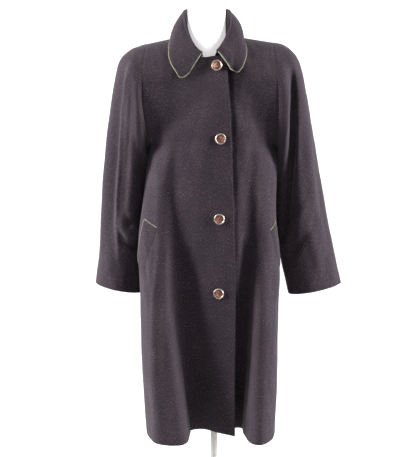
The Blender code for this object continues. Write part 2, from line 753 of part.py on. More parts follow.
def beside(tree, line, within, reach, lift):
    """Points laid on the coat past a line that rests on it, with more between each two."""
    path = []
    for point, near in zip(line, within):
        place, normal, face, away = tree.find_nearest(Vector(point))
        way = Vector(point - near)
        way -= normal * way.dot(normal)
        path.append(np.array(Vector(point) + way.normalized() * reach))
    steps = np.linspace(0, len(path) - 1, PIPING_SPLIT * (len(path) - 1) + 1)
    dense = np.stack([np.interp(steps, np.arange(len(path)), axis) for axis in np.array(path).T], axis=1)
    return laid_on(tree, dense, lift)


def rim_path(line, within, normals, reach):
    """Points just outside a rim: past the line, away from the points within, at half the wall."""
    way = line - within
    way /= np.linalg.norm(way, axis=1, keepdims=True)
    return line + way * reach - normals * WALL / 2


def add_collar(tree, collection):
    patch = collar_patch(tree, COLLAR_COLUMNS)
    add_object("collar", wall_mesh("collar", [patch]), "loden", collection)
    reach = PIPING_RADIUS + 4 * SEAM_GAP
    grid, normals = patch.points, patch.normals
    right = rim_path(grid[5:, 0], grid[5:, 1], normals[5:, 0], reach)
    edge = beside(tree, grid[-1], grid[-2], reach, PIPING_RADIUS + PIPING_LIFT)
    left = rim_path(grid[5:, -1], grid[5:, -2], normals[5:, -1], reach)
    corners = [right[-1] + edge[0] - grid[-1, 0], left[-1] + edge[-1] - grid[-1, -1]]
    path = np.concatenate([right[:-1], corners[:1], edge[1:-1], corners[1:], left[-2::-1]])
    path = clear_of(tree, path, PIPING_RADIUS + PIPING_LIFT)
    piping("collar_piping", path, collection)


def welt_patch(panel_patch, corners, rows=6, columns=4):
    """A strip's points and normals on a panel, its corners given as share and height."""
    shares = np.linspace(0, 1, panel_patch.points.shape[1])
    field = np.concatenate([panel_patch.points, panel_patch.normals], axis=2)[:SKIRT_ROWS + 1]
    inner_top, outer_top, outer_low, inner_low = (np.array(corner) for corner in corners)
    found = []
    for v in np.linspace(0, 1, rows + 1):
        for w in np.linspace(0, 1, columns + 1):
            top = (1 - w) * inner_top + w * outer_top
            low = (1 - w) * inner_low + w * outer_low
            share, height = (1 - v) * top + v * low
            column = np.array([[np.interp(share, shares, line) for line in row.T] for row in field])
            found.append([np.interp(height, column[:, 2], line) for line in column.T])
    found = np.array(found).reshape(rows + 1, columns + 1, 6)
    points, facing = found[..., :3], found[..., 3:]
    facing = facing / np.linalg.norm(facing, axis=2, keepdims=True)
    return points, facing


def add_pocket(side, tree, panel_patch, corners, collection):
    points, facing = welt_patch(panel_patch, corners)
    lifted = clear_of(tree, (points + facing * WELT_WALL).reshape(-1, 3), WELT_WALL + WELT_LIFT)
    patch = Patch(lifted.reshape(points.shape), side == "left")
    patch.normals = facing
    patch.trimmed = patch.points
    make_inner(patch, WELT_WALL)
    add_object("pocket_welt_" + side, wall_mesh("pocket_welt_" + side, [patch]), "loden", collection)
    reach = PIPING_RADIUS + SEAM_GAP
    top = rim_path(patch.points[0], patch.points[1], facing[0], reach)
    edge = rim_path(patch.points[:, -1], patch.points[:, -2], facing[:, -1], reach)
    corner = (top[-1] + edge[0]) / 2 + (top[-1] - top[-2]) * 0.05
    path = np.concatenate([top[:-1], [corner], edge[1:]])
    piping("pocket_piping_" + side, path, collection)


def turned(name, profile, steps, look, collection):
    """A solid of revolution about Z from a profile of radius and height, top to bottom."""
    mesh = bpy.data.meshes.new(name)
    points = [(radius, 0.0, height) for radius, height in profile]
    mesh.from_pydata(points, [(k, k + 1) for k in range(len(points) - 1)], [])
    made = add_object(name, mesh, look, collection)
    screw = made.modifiers.new("turn", "SCREW")
    screw.steps = steps
    screw.render_steps = steps
    screw.use_merge_vertices = True
    screw.merge_threshold = 0.00001
    return made


def add_buttons(tree, collection):
    """Four domed buttons with a raised rim, seated on the right front."""
    r, h = BUTTON_RADIUS, BUTTON_HEIGHT
    dome = ((0, h), (0.55 * r, 0.9 * h), (0.80 * r, 0.70 * h))
    rim = ((0.88 * r, 0.86 * h), (0.96 * r, 0.78 * h), (r, 0.5 * h), (0.97 * r, 0.2 * h))
    profile = dome + rim + ((0.90 * r, 0), (0, 0))
    for number, (x, z) in enumerate(BUTTONS, 1):
        place, normal, face, away = tree.ray_cast(Vector((x, -1.0, z)), Vector((0, 1, 0)))
        made = turned(f"button_{number}", profile, 20, "button", collection)
        made.location = place + normal * BUTTON_SEAT + Vector((COAT_X, 0, 0))
        made.rotation_euler = normal.to_track_quat("Z", "Y").to_euler()


def add_form(collection):
    """The limbless form inside the coat: rings from the seat to the top of the neck."""
    rows = np.array([row[1:] for row in FORM_RINGS])
    steps = np.linspace(0, len(rows) - 1, FORM_ROWS + 1)
    middle, front_z, back_z, side_z, width, front, back = smooth(steps, np.arange(len(rows)), rows).T
    turn = np.arange(FORM_SIDES) / FORM_SIDES * 2 * math.pi
    power = np.where(np.sin(turn) < 0, 2 / FRONT_FULLNESS, 1.0)
    side = np.sign(np.cos(turn)) * np.abs(np.cos(turn)) ** power
    ahead = np.sign(np.sin(turn)) * np.abs(np.sin(turn)) ** power
    depth = np.where(ahead < 0, front[:, None], back[:, None])
    x = middle[:, None] + width[:, None] * side + COAT_X
    middle_z = np.where(ahead < 0, front_z[:, None], back_z[:, None])
    z = middle_z + (side_z[:, None] - middle_z) * np.cos(turn) ** 2
    points = np.stack([x, depth * ahead, z], axis=2).reshape(-1, 3)
    ids = np.arange(len(points)).reshape(FORM_ROWS + 1, FORM_SIDES)
    mesh = bpy.data.meshes.new("form_torso")
    build = bmesh.new()
    spots = [build.verts.new(point) for point in points]
    for lower, upper in zip(ids[:-1], ids[1:]):
        for k in range(FORM_SIDES):
            n = (k + 1) % FORM_SIDES
            build.faces.new([spots[lower[k]], spots[lower[n]], spots[upper[n]], spots[upper[k]]])
    build.faces.new([spots[k] for k in ids[0][::-1]])
    build.faces.new([spots[k] for k in ids[-1]])
    build.to_mesh(mesh)
    build.free()
    add_object("form_torso", mesh, "form", collection)


def add_stand(collection):
    """The neck's cap, the pole and the round base, all about the pole's axis or the neck's."""
    neck = FORM_RINGS[-1]
    top, radius = neck[4], neck[5]
    seat = FORM_RINGS[0][2]
    gap = SEAM_GAP
    cap = ((0, CAP_HEIGHT), (radius * 0.7, CAP_HEIGHT), (radius, CAP_HEIGHT * 0.55), (radius, 0), (0, 0))
    made = turned("form_cap", cap, 24, "form", collection)
    made.location = (neck[1] + COAT_X, 0, top + gap)
    foot = BASE_HEIGHT + gap
    pole = ((0, seat - gap), (POLE_RADIUS, seat - gap), (POLE_RADIUS, foot), (0, foot))
    turned("form_pole", pole, 16, "metal", collection)
    base = ((0, BASE_HEIGHT), (BASE_RADIUS - 0.03, BASE_HEIGHT * 0.8),
            (BASE_RADIUS - 0.003, BASE_HEIGHT * 0.45), (BASE_RADIUS, BASE_HEIGHT * 0.25),
            (BASE_RADIUS, 0), (0, 0))
    turned("form_base", base, 40, "metal", collection)


def main():
    for old in list(bpy.data.objects):
        bpy.data.objects.remove(old)
    collection = bpy.data.collections.new("loden_coat")
    bpy.context.scene.collection.children.link(collection)
    patches = add_coat(collection)
    tree = surface_tree(patches.values())
    add_collar(tree, collection)
    add_pocket("right", tree, patches["front_right"], WELT_RIGHT, collection)
    add_pocket("left", tree, patches["front_left"], WELT_LEFT, collection)
    add_buttons(tree, collection)
    add_form(collection)
    add_stand(collection)


main()
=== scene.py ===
"""Loden coat on a dress form: the look of the cloth, piping, buttons, form and studio.

Every cloth piece is a grid of points worked out from the tables below. A row of a front or back
is a cubic curve from the front edge or centre back to the side seam or armhole, a sleeve is a
run of oval rings from the armhole to the cuff, and the collar is a strip carried over its roll.
The tables are in metres in the coat's own frame, which stands COAT_X from the pole's axis.
"""

import math

import bmesh
import bpy
import numpy as np
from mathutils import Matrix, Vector


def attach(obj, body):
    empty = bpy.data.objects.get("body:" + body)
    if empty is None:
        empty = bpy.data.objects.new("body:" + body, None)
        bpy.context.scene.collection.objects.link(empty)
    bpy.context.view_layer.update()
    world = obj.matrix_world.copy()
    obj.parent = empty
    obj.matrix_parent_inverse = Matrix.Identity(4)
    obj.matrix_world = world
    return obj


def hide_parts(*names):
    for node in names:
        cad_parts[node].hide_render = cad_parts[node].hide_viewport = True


bl_info = {
    "name": "Loden coat",
    "version": (1, 0, 0),
    "blender": (4, 5, 0),
    "location": "View3D > Sidebar > Coat",
    "description": "Builds the cloth, trim, buttons and form of a loden coat round its solids",
    "category": "Add Mesh",
}

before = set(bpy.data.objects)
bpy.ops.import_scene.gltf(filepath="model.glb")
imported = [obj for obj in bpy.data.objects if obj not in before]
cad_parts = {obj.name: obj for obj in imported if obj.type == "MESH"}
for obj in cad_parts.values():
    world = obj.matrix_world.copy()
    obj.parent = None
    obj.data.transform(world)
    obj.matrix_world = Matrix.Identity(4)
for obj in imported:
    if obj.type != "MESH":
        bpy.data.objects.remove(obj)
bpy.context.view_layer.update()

# The two ways in which a panel or a fold can face
FRONT, BACK = -1, 1

# Where the coat's own frame stands from the pole's axis
COAT_X = -0.012
SHIFT = np.array([COAT_X, 0.0, 0.0])

# The coat's wall, and the hair left between two solids
WALL = 0.0025
SEAM_GAP = 0.0003

# How many steps each grid has
SKIRT_ROWS = 96
YOKE_ROWS = 52
COLUMNS = 64
SLEEVE_ROWS = 92
RIM_STEPS = 4
COLLAR_COLUMNS = 150
STAND_STEPS = 6
ROLL_STEPS = 9
LEAF_STEPS = 18
WELT_ROWS, WELT_COLUMNS = 40, 16
CORD_SIDES = 12
BUTTON_RINGS, BUTTON_SIDES = 72, 144
HOLE_STEPS, HOLE_SIDES = 520, 10
FORM_STEPS, FORM_SIDES = 90, 96
CAP_STEPS = 9
POLE_SIDES, BASE_SIDES = 64, 128
SWEEP_STEPS = 17

# The pull with which a row leaves its ends as a quarter of an ellipse. A straight row has 1
ROUND = 1.66

# Side seams: step (0 hem, 1 armpit, 2 shoulder tip), x, y, z
SIDE_RIGHT = (
    (0.00, -0.172, 0.005, 0.316),
    (0.30, -0.181, 0.010, 0.551),
    (0.49, -0.180, 0.010, 0.700),
    (0.63, -0.174, 0.008, 0.810),
    (0.77, -0.169, 0.006, 0.920),
    (0.89, -0.167, 0.004, 1.014),
    (0.95, -0.166, 0.002, 1.060),
    (1.00, -0.160, 0.000, 1.100),
)
SIDE_LEFT = (
    (0.00, 0.174, 0.005, 0.316),
    (0.30, 0.180, 0.010, 0.551),
    (0.49, 0.180, 0.010, 0.700),
    (0.63, 0.177, 0.008, 0.810),
    (0.77, 0.173, 0.006, 0.920),
    (0.89, 0.175, 0.004, 1.014),
    (0.95, 0.175, 0.002, 1.060),
    (1.00, 0.170, 0.000, 1.100),
)

# Armholes: step, x, y on the front, y on the back, z
ARMHOLE_RIGHT = (
    (1.00, -0.160, 0.000, 0.000, 1.100),
    (1.10, -0.162, -0.026, 0.028, 1.108),
    (1.22, -0.168, -0.052, 0.056, 1.137),
    (1.36, -0.175, -0.073, 0.078, 1.180),
    (1.52, -0.180, -0.083, 0.088, 1.236),
    (1.68, -0.180, -0.078, 0.081, 1.288),
    (1.82, -0.175, -0.056, 0.057, 1.335),
    (1.92, -0.171, -0.027, 0.026, 1.361),
    (2.00, -0.169, -0.002, -0.002, 1.371),
)
ARMHOLE_LEFT = (
    (1.00, 0.170, 0.000, 0.000, 1.100),
    (1.10, 0.172, -0.026, 0.028, 1.108),
    (1.22, 0.176, -0.052, 0.056, 1.137),
    (1.36, 0.179, -0.072, 0.078, 1.180),
    (1.52, 0.178, -0.082, 0.088, 1.236),
    (1.68, 0.174, -0.076, 0.080, 1.290),
    (1.82, 0.169, -0.054, 0.056, 1.338),
    (1.92, 0.167, -0.026, 0.025, 1.365),
    (2.00, 0.166, -0.002, -0.002, 1.375),
)

# Front edges, centre back and necklines: step, x, y, z
EDGE_FRONT_RIGHT = (
    (0.00, 0.066, -0.120, 0.316),
    (0.42, 0.066, -0.113, 0.642),
    (0.76, 0.060, -0.110, 0.912),
    (1.08, 0.051, -0.107, 1.163),
    (1.30, 0.044, -0.094, 1.262),
    (1.50, 0.040, -0.072, 1.335),
    (1.62, 0.014, -0.069, 1.339),
    (1.74, -0.020, -0.065, 1.337),
    (1.84, -0.048, -0.051, 1.359),
    (1.92, -0.063, -0.028, 1.380),
    (2.00, -0.068, -0.003, 1.393),
)
EDGE_FRONT_LEFT = (
    (0.00, 0.008, -0.076, 0.316),
    (0.42, -0.002, -0.094, 0.642),
    (0.76, -0.004, -0.101, 0.912),
    (1.08, -0.005, -0.100, 1.163),
    (1.30, -0.006, -0.084, 1.262),
    (1.50, -0.006, -0.062, 1.333),
    (1.62, 0.010, -0.059, 1.337),
    (1.74, 0.025, -0.052, 1.348),
    (1.84, 0.039, -0.040, 1.363),
    (1.92, 0.048, -0.023, 1.381),
    (2.00, 0.051, -0.003, 1.393),
)
CENTRE_BACK = (
    (0.00, -0.004, 0.142, 0.316),
    (0.42, -0.005, 0.128, 0.642),
    (0.76, -0.006, 0.116, 0.912),
    (1.08, -0.008, 0.110, 1.163),
    (1.40, -0.009, 0.098, 1.290),
    (1.62, -0.010, 0.074, 1.352),
    (1.74, -0.010, 0.054, 1.386),
)
BACK_NECK_RIGHT = CENTRE_BACK + (
    (1.84, -0.036, 0.050, 1.388),
    (1.92, -0.060, 0.029, 1.391),
    (2.00, -0.068, -0.003, 1.393),
)
BACK_NECK_LEFT = CENTRE_BACK + (
    (1.84, 0.018, 0.050, 1.388),
    (1.92, 0.042, 0.029, 1.391),
    (2.00, 0.051, -0.003, 1.393),
)

# How a row crosses a panel: step, slope at the inner edge, turn at the outer edge
# in degrees (0 runs on outwards, 90 turns to the other half), fullness
ROW_FRONT_RIGHT = (
    (0.00, -0.20, 108, 1.66),
    (0.63, -0.14, 112, 1.90),
    (0.88, -0.10, 106, 1.82),
    (1.00, -0.10, 88, 1.72),
    (1.10, -0.10, 74, 1.65),
    (1.25, -0.08, 42, 1.45),
    (1.50, -0.04, 30, 1.25),
    (1.80, 0.00, 18, 1.10),
    (2.00, 0.00, 0, 1.00),
)
ROW_FRONT_LEFT = (
    (0.00, 0.00, 108, 1.66),
    (0.63, 0.00, 108, 1.85),
    (0.88, 0.00, 106, 1.82),
    (1.00, 0.00, 88, 1.72),
    (1.10, 0.00, 70, 1.65),
    (1.25, 0.00, 42, 1.45),
    (1.50, 0.00, 30, 1.25),
    (1.80, 0.00, 18, 1.10),
    (2.00, 0.00, 0, 1.00),
)
ROW_BACK_RIGHT = (
    (0.00, 0.00, 72, 1.66),
    (0.63, 0.00, 68, 1.66),
    (1.00, 0.00, 76, 1.70),
    (1.10, 0.00, 70, 1.60),
    (1.25, 0.00, 42, 1.45),
    (1.50, 0.00, 30, 1.25),
    (1.80, 0.00, 18, 1.10),
    (2.00, 0.00, 0, 1.00),
)
ROW_BACK_LEFT = (
    (0.00, 0.00, 72, 1.66),
    (0.63, 0.00, 72, 1.66),
    (1.00, 0.00, 76, 1.70),
    (1.10, 0.00, 70, 1.60),
    (1.25, 0.00, 42, 1.45),
    (1.50, 0.00, 30, 1.25),
    (1.80, 0.00, 18, 1.10),
    (2.00, 0.00, 0, 1.00),
)

# Where the folds stand at the hem: share of the row, x, y, height where it starts, power
FOLDS_FRONT_RIGHT = (
    (0.00, 0.066, -0.120, 1.15, 1.3),
    (0.12, 0.040, -0.104, 1.15, 1.3),
    (0.24, 0.008, -0.088, 1.15, 1.3),
    (0.36, -0.026, -0.078, 1.15, 1.2),
    (0.43, -0.045, -0.077, 1.15, 1.2),
    (0.48, -0.053, -0.110, 1.15, 1.2),
    (0.53, -0.058, -0.160, 1.15, 1.2),
    (0.60, -0.080, -0.188, 1.15, 1.3),
    (0.70, -0.112, -0.190, 1.10, 1.3),
    (0.79, -0.146, -0.163, 1.05, 1.2),
    (0.87, -0.169, -0.116, 1.05, 1.2),
    (0.94, -0.177, -0.062, 1.00, 1.2),
    (1.00, -0.172, 0.005, 1.00, 1.2),
)
FOLDS_FRONT_LEFT = (
    (0.00, 0.008, -0.076, 1.05, 1.4),
    (0.12, 0.036, -0.086, 1.05, 1.4),
    (0.24, 0.062, -0.078, 1.05, 1.3),
    (0.32, 0.077, -0.060, 1.05, 1.2),
    (0.38, 0.087, -0.070, 1.05, 1.2),
    (0.44, 0.094, -0.118, 1.05, 1.2),
    (0.50, 0.104, -0.164, 1.05, 1.3),
    (0.58, 0.128, -0.184, 1.05, 1.3),
    (0.68, 0.153, -0.168, 1.05, 1.3),
    (0.79, 0.172, -0.128, 1.05, 1.2),
    (0.90, 0.180, -0.066, 1.00, 1.2),
    (1.00, 0.174, 0.005, 1.00, 1.2),
)
FOLDS_BACK_RIGHT = (
    (0.00, -0.004, 0.142, 1.10, 1.2),
    (0.20, -0.040, 0.166, 1.10, 1.2),
    (0.42, -0.082, 0.138, 1.10, 1.2),
    (0.62, -0.126, 0.144, 1.10, 1.2),
    (0.82, -0.163, 0.085, 1.10, 1.2),
    (1.00, -0.172, 0.005, 1.00, 1.2),
)
FOLDS_BACK_LEFT = (
    (0.00, -0.004, 0.142, 1.10, 1.2),
    (0.22, 0.040, 0.150, 1.10, 1.2),
    (0.42, 0.086, 0.160, 1.10, 1.2),
    (0.62, 0.130, 0.128, 1.10, 1.2),
    (0.82, 0.166, 0.082, 1.10, 1.2),
    (1.00, 0.174, 0.005, 1.00, 1.2),
)

# Sleeve rings: step, overarm x, y, z, underarm x, y, z, half depth
RINGS_RIGHT = (
    (0.10, -0.206, -0.001, 1.359, -0.173, 0.004, 1.089, 0.091),
    (0.22, -0.243, 0.000, 1.323, -0.168, 0.018, 1.052, 0.089),
    (0.34, -0.262, 0.004, 1.241, -0.169, 0.038, 1.014, 0.081),
    (0.50, -0.281, 0.014, 1.110, -0.164, 0.048, 0.956, 0.073),
    (0.68, -0.297, 0.028, 0.950, -0.167, 0.038, 0.872, 0.064),
    (0.84, -0.306, 0.040, 0.815, -0.182, 0.020, 0.776, 0.060),
    (1.00, -0.317, 0.048, 0.714, -0.191, 0.004, 0.691, 0.058),
)
RINGS_LEFT = (
    (0.10, 0.200, -0.001, 1.365, 0.183, 0.004, 1.089, 0.090),
    (0.22, 0.237, 0.000, 1.327, 0.181, 0.018, 1.052, 0.088),
    (0.34, 0.260, 0.004, 1.239, 0.180, 0.038, 1.014, 0.081),
    (0.50, 0.286, 0.014, 1.105, 0.176, 0.048, 0.956, 0.073),
    (0.68, 0.316, 0.026, 0.950, 0.177, 0.038, 0.877, 0.064),
    (0.84, 0.342, 0.036, 0.818, 0.196, 0.016, 0.786, 0.058),
    (1.00, 0.365, 0.044, 0.714, 0.219, -0.002, 0.688, 0.054),
)

# Folds down the sleeves: step, angle round the ring in degrees, depth
TROUGH_LEFT = (
    (0.06, 42, 0.000),
    (0.16, 62, 0.010),
    (0.26, 82, 0.015),
    (0.38, 96, 0.016),
    (0.52, 106, 0.015),
    (0.68, 118, 0.012),
    (0.84, 136, 0.000),
)
RIDGE_RIGHT = (
    (0.06, 50, 0.000),
    (0.16, 62, -0.005),
    (0.26, 74, -0.007),
    (0.38, 86, -0.007),
    (0.52, 92, -0.007),
    (0.68, 98, -0.007),
    (0.86, 108, 0.000),
)
FOLD_HALF_ANGLE = 30

# Collar, from the wearer's right end round the back:
# name, roll x, y, z, leaf edge x, y, z, how far the leaf bulges
COLLAR = (
    ("right end", -0.021, -0.071, 1.350, -0.053, -0.086, 1.301, 0.002),
    ("right tip", -0.024, -0.070, 1.352, -0.066, -0.088, 1.288, 0.002),
    ("right corner", -0.028, -0.069, 1.355, -0.078, -0.087, 1.285, 0.002),
    ("right point", -0.034, -0.066, 1.360, -0.088, -0.082, 1.297, 0.003),
    ("right front", -0.046, -0.058, 1.375, -0.102, -0.072, 1.318, 0.003),
    ("right bend", -0.058, -0.044, 1.401, -0.109, -0.054, 1.348, 0.004),
    ("right side", -0.066, -0.024, 1.436, -0.109, -0.026, 1.380, 0.006),
    ("right shoulder", -0.069, 0.000, 1.456, -0.106, 0.014, 1.390, 0.007),
    ("right back", -0.056, 0.040, 1.464, -0.078, 0.062, 1.372, 0.007),
    ("centre back", -0.010, 0.064, 1.466, -0.010, 0.096, 1.358, 0.006),
    ("left back", 0.036, 0.040, 1.464, 0.060, 0.062, 1.374, 0.009),
    ("left shoulder", 0.051, 0.000, 1.456, 0.087, 0.014, 1.391, 0.010),
    ("left side", 0.051, -0.024, 1.437, 0.091, -0.026, 1.383, 0.007),
    ("left bend", 0.044, -0.044, 1.402, 0.095, -0.052, 1.352, 0.006),
    ("left front", 0.034, -0.058, 1.378, 0.088, -0.070, 1.320, 0.003),
    ("left point", 0.025, -0.067, 1.365, 0.079, -0.078, 1.306, 0.003),
    ("left corner", 0.020, -0.070, 1.359, 0.068, -0.085, 1.299, 0.002),
    ("left end", 0.016, -0.072, 1.355, 0.052, -0.086, 1.309, 0.002),
)
COLLAR_FOLD_RADIUS = 0.0042
COLLAR_LIFT = 0.0022
COLLAR_INSET = 0.0012
COLLAR_LAID = 0.0010
COLLAR_RIPPLE = 0.6
TIP_LIFT = 0.0035
TIP_SPREAD = 0.16
NECK_X = -0.010

# Steps of the edges' tables at which the collar's foot begins on each front and ends at the back
FOOT_RIGHT = 1.74
FOOT_LEFT = 1.64
FOOT_BACK = 1.74

# Buttons down the front: x, z
BUTTONS = (
    (0.017, 1.314),
    (0.026, 1.125),
    (0.024, 0.913),
    (0.023, 0.711),
)
BUTTON_RADIUS = 0.0145
BUTTON_SEAT = 0.0006

# Pocket welts: share of the row and height at each corner, top inner corner first
WELT_RIGHT = ((0.605, 0.886), (0.745, 0.905), (0.88, 0.790), (0.77, 0.768))
WELT_LEFT = ((0.64, 0.876), (0.76, 0.900), (0.92, 0.796), (0.82, 0.770))
WELT_WALL = 0.0022
WELT_FOOT = 0.0003
WELT_RISE = 0.0029

# Piping: radius, how far beside the collar's and a welt's edge it runs in radii, how thin a
# welt's is, how far over the coat it stays
PIPING_RADIUS = 0.0013
COLLAR_REACH = 0.9
WELT_REACH = 0.8
WELT_PIPING = 0.85
PIPING_LIFT = 0.0002
# Shares of the radius at a cord's last point and at the one before it
CORD_TIPS = (0.02, 0.75)

# Dress form: name, middle x, z at the front, back and sides, half width, front and back depth
FORM_RINGS = (
    ("seat", 0.012, 0.780, 0.780, 0.780, 0.118, 0.072, 0.082),
    ("hip", 0.010, 0.880, 0.880, 0.880, 0.136, 0.082, 0.092),
    ("waist", 0.006, 1.010, 1.010, 1.010, 0.118, 0.074, 0.078),
    ("chest", 0.000, 1.170, 1.170, 1.170, 0.136, 0.080, 0.086),
    ("arm", -0.002, 1.262, 1.270, 1.300, 0.145, 0.066, 0.070),
    ("shoulder", -0.001, 1.314, 1.328, 1.3709, 0.144, 0.043, 0.044),
    ("slope", -0.006, 1.332, 1.350, 1.3769, 0.098, 0.046, 0.041),
    ("neck base", -0.010, 1.350, 1.369, 1.3825, 0.0510, 0.052, 0.043),
    ("neck", -0.010, 1.400, 1.405, 1.410, 0.0505, 0.053, 0.046),
    ("neck top", -0.010, 1.490, 1.490, 1.490, 0.0495, 0.051, 0.048),
)
FRONT_FULLNESS = 2.2
CAP_HEIGHT = 0.012
CAP_ROUNDING = 0.006
POLE_RADIUS = 0.010
BASE_RADIUS = 0.190
BASE_HEIGHT = 0.016
CHAMFER = 0.001

# Fold lines, by piece and by the side from which they are seen: width, depth (raised where
# positive), then the line's points as x, z
CREASES = {
    ("sleeve_left", FRONT): (
        (0.008, -0.0125, (0.214, 1.318), (0.219, 1.230), (0.220, 1.134), (0.218, 1.062),
         (0.214, 0.986), (0.209, 0.903), (0.202, 0.830)),
        (0.009, 0.0040, (0.203, 1.290), (0.205, 1.180), (0.205, 1.060), (0.200, 0.960)),
        (0.016, 0.0065, (0.236, 1.300), (0.248, 1.231), (0.258, 1.150), (0.268, 1.075),
         (0.280, 0.960)),
        (0.015, -0.0060, (0.264, 1.260), (0.284, 1.130), (0.300, 1.000), (0.318, 0.880),
         (0.330, 0.790)),
        (0.013, 0.0055, (0.198, 0.815), (0.214, 0.852), (0.244, 0.912), (0.262, 0.950)),
        (0.011, -0.0050, (0.205, 0.775), (0.232, 0.818), (0.270, 0.872), (0.290, 0.902)),
        (0.016, 0.0040, (0.262, 0.900), (0.282, 0.830), (0.296, 0.760)),
    ),
    ("sleeve_right", FRONT): (
        (0.0055, 0.0085, (-0.212, 1.318), (-0.226, 1.270), (-0.236, 1.195), (-0.244, 1.072),
         (-0.254, 0.960), (-0.256, 0.890), (-0.250, 0.780)),
        (0.010, -0.0055, (-0.204, 1.290), (-0.212, 1.200), (-0.222, 1.080), (-0.232, 0.960),
         (-0.236, 0.905)),
        (0.015, -0.0115, (-0.226, 1.330), (-0.241, 1.240), (-0.252, 1.120), (-0.264, 0.980),
         (-0.270, 0.880), (-0.268, 0.790)),
        (0.012, 0.0085, (-0.246, 1.300), (-0.266, 1.220), (-0.281, 1.120), (-0.296, 0.980),
         (-0.304, 0.880), (-0.308, 0.790)),
        (0.011, 0.0045, (-0.192, 1.270), (-0.194, 1.150), (-0.198, 1.030), (-0.196, 0.960)),
        (0.010, 0.0070, (-0.196, 0.890), (-0.214, 0.856), (-0.236, 0.866), (-0.252, 0.912)),
        (0.008, -0.0070, (-0.190, 0.842), (-0.208, 0.824), (-0.230, 0.832), (-0.248, 0.868)),
        (0.009, -0.0060, (-0.184, 0.960), (-0.200, 0.900), (-0.218, 0.890), (-0.234, 0.925)),
        (0.014, 0.0030, (-0.266, 0.900), (-0.272, 0.820), (-0.280, 0.740)),
    ),
    ("sleeve_left", BACK): (
        (0.014, 0.0060, (0.200, 0.990), (0.232, 0.950), (0.276, 0.930)),
        (0.012, -0.0050, (0.196, 0.945), (0.232, 0.900), (0.286, 0.888)),
        (0.014, 0.0045, (0.196, 1.290), (0.206, 1.170), (0.220, 1.050)),
    ),
    ("sleeve_right", BACK): (
        (0.014, 0.0060, (-0.190, 0.990), (-0.222, 0.945), (-0.262, 0.930)),
        (0.012, -0.0050, (-0.186, 0.940), (-0.222, 0.896), (-0.270, 0.886)),
        (0.014, 0.0045, (-0.192, 1.285), (-0.204, 1.170), (-0.216, 1.050)),
    ),
    ("front_right", FRONT): (
        (0.016, 0.0026, (-0.150, 1.255), (-0.126, 1.180), (-0.112, 1.090), (-0.104, 0.990)),
        (0.020, -0.0030, (-0.110, 1.120), (-0.096, 0.990), (-0.078, 0.870), (-0.052, 0.700)),
        (0.012, 0.0020, (-0.158, 1.130), (-0.142, 1.060), (-0.134, 0.980)),
        (0.020, 0.0020, (0.020, 1.250), (-0.010, 1.120), (-0.030, 0.960), (-0.040, 0.800)),
        (0.006, 0.0014, (0.039, 1.310), (0.044, 1.262), (0.051, 1.163), (0.060, 0.912),
         (0.066, 0.642), (0.066, 0.290)),
        (0.034, -0.0175, (-0.064, 0.850), (-0.052, 0.700), (-0.034, 0.500), (-0.024, 0.330),
         (-0.022, 0.120)),
        (0.006, 0.0022, (-0.170, 0.900), (-0.167, 0.836), (-0.162, 0.784), (-0.159, 0.750)),
        (0.006, 0.0022, (-0.150, 0.870), (-0.155, 0.803), (-0.160, 0.768), (-0.158, 0.720)),
        (0.006, 0.0030, (-0.139, 0.800), (-0.144, 0.746), (-0.149, 0.700), (-0.151, 0.640),
         (-0.150, 0.560)),
        (0.006, 0.0022, (-0.183, 0.790), (-0.175, 0.723), (-0.168, 0.689), (-0.167, 0.640),
         (-0.166, 0.560)),
        (0.008, 0.0030, (-0.137, 1.020), (-0.138, 0.920), (-0.138, 0.800), (-0.138, 0.700),
         (-0.138, 0.600), (-0.137, 0.500)),
        (0.026, -0.0045, (-0.114, 0.760), (-0.114, 0.640), (-0.116, 0.480), (-0.114, 0.340),
         (-0.112, 0.160)),
        (0.016, 0.0095, (-0.150, 0.800), (-0.150, 0.640), (-0.146, 0.480), (-0.140, 0.340),
         (-0.138, 0.160)),
    ),
    ("front_left", FRONT): (
        (0.007, -0.0042, (0.044, 1.345), (0.049, 1.262), (0.056, 1.163), (0.064, 0.912),
         (0.070, 0.642), (0.070, 0.290)),
        (0.014, -0.0105, (0.094, 0.860), (0.088, 0.700), (0.082, 0.520), (0.080, 0.340),
         (0.080, 0.140)),
        (0.014, 0.0050, (0.140, 0.820), (0.138, 0.660), (0.132, 0.500), (0.128, 0.340),
         (0.126, 0.160)),
        (0.016, 0.0026, (0.154, 1.250), (0.136, 1.170), (0.128, 1.070), (0.124, 0.960)),
        (0.040, 0.0075, (0.092, 1.330), (0.088, 1.240), (0.090, 1.150), (0.094, 1.080)),
        (0.014, -0.0026, (0.112, 1.140), (0.104, 1.000), (0.100, 0.860), (0.092, 0.720)),
        (0.012, 0.0020, (0.160, 1.120), (0.152, 1.040), (0.150, 0.960)),
    ),
    ("back", BACK): (
        (0.018, 0.0024, (-0.140, 1.250), (-0.110, 1.130), (-0.096, 0.980)),
        (0.018, 0.0024, (0.138, 1.250), (0.106, 1.130), (0.092, 0.980)),
        (0.022, 0.0018, (0.040, 1.270), (0.030, 1.120), (0.034, 0.940)),
        (0.022, -0.0020, (-0.040, 1.260), (-0.052, 1.100), (-0.060, 0.920)),
    ),
}

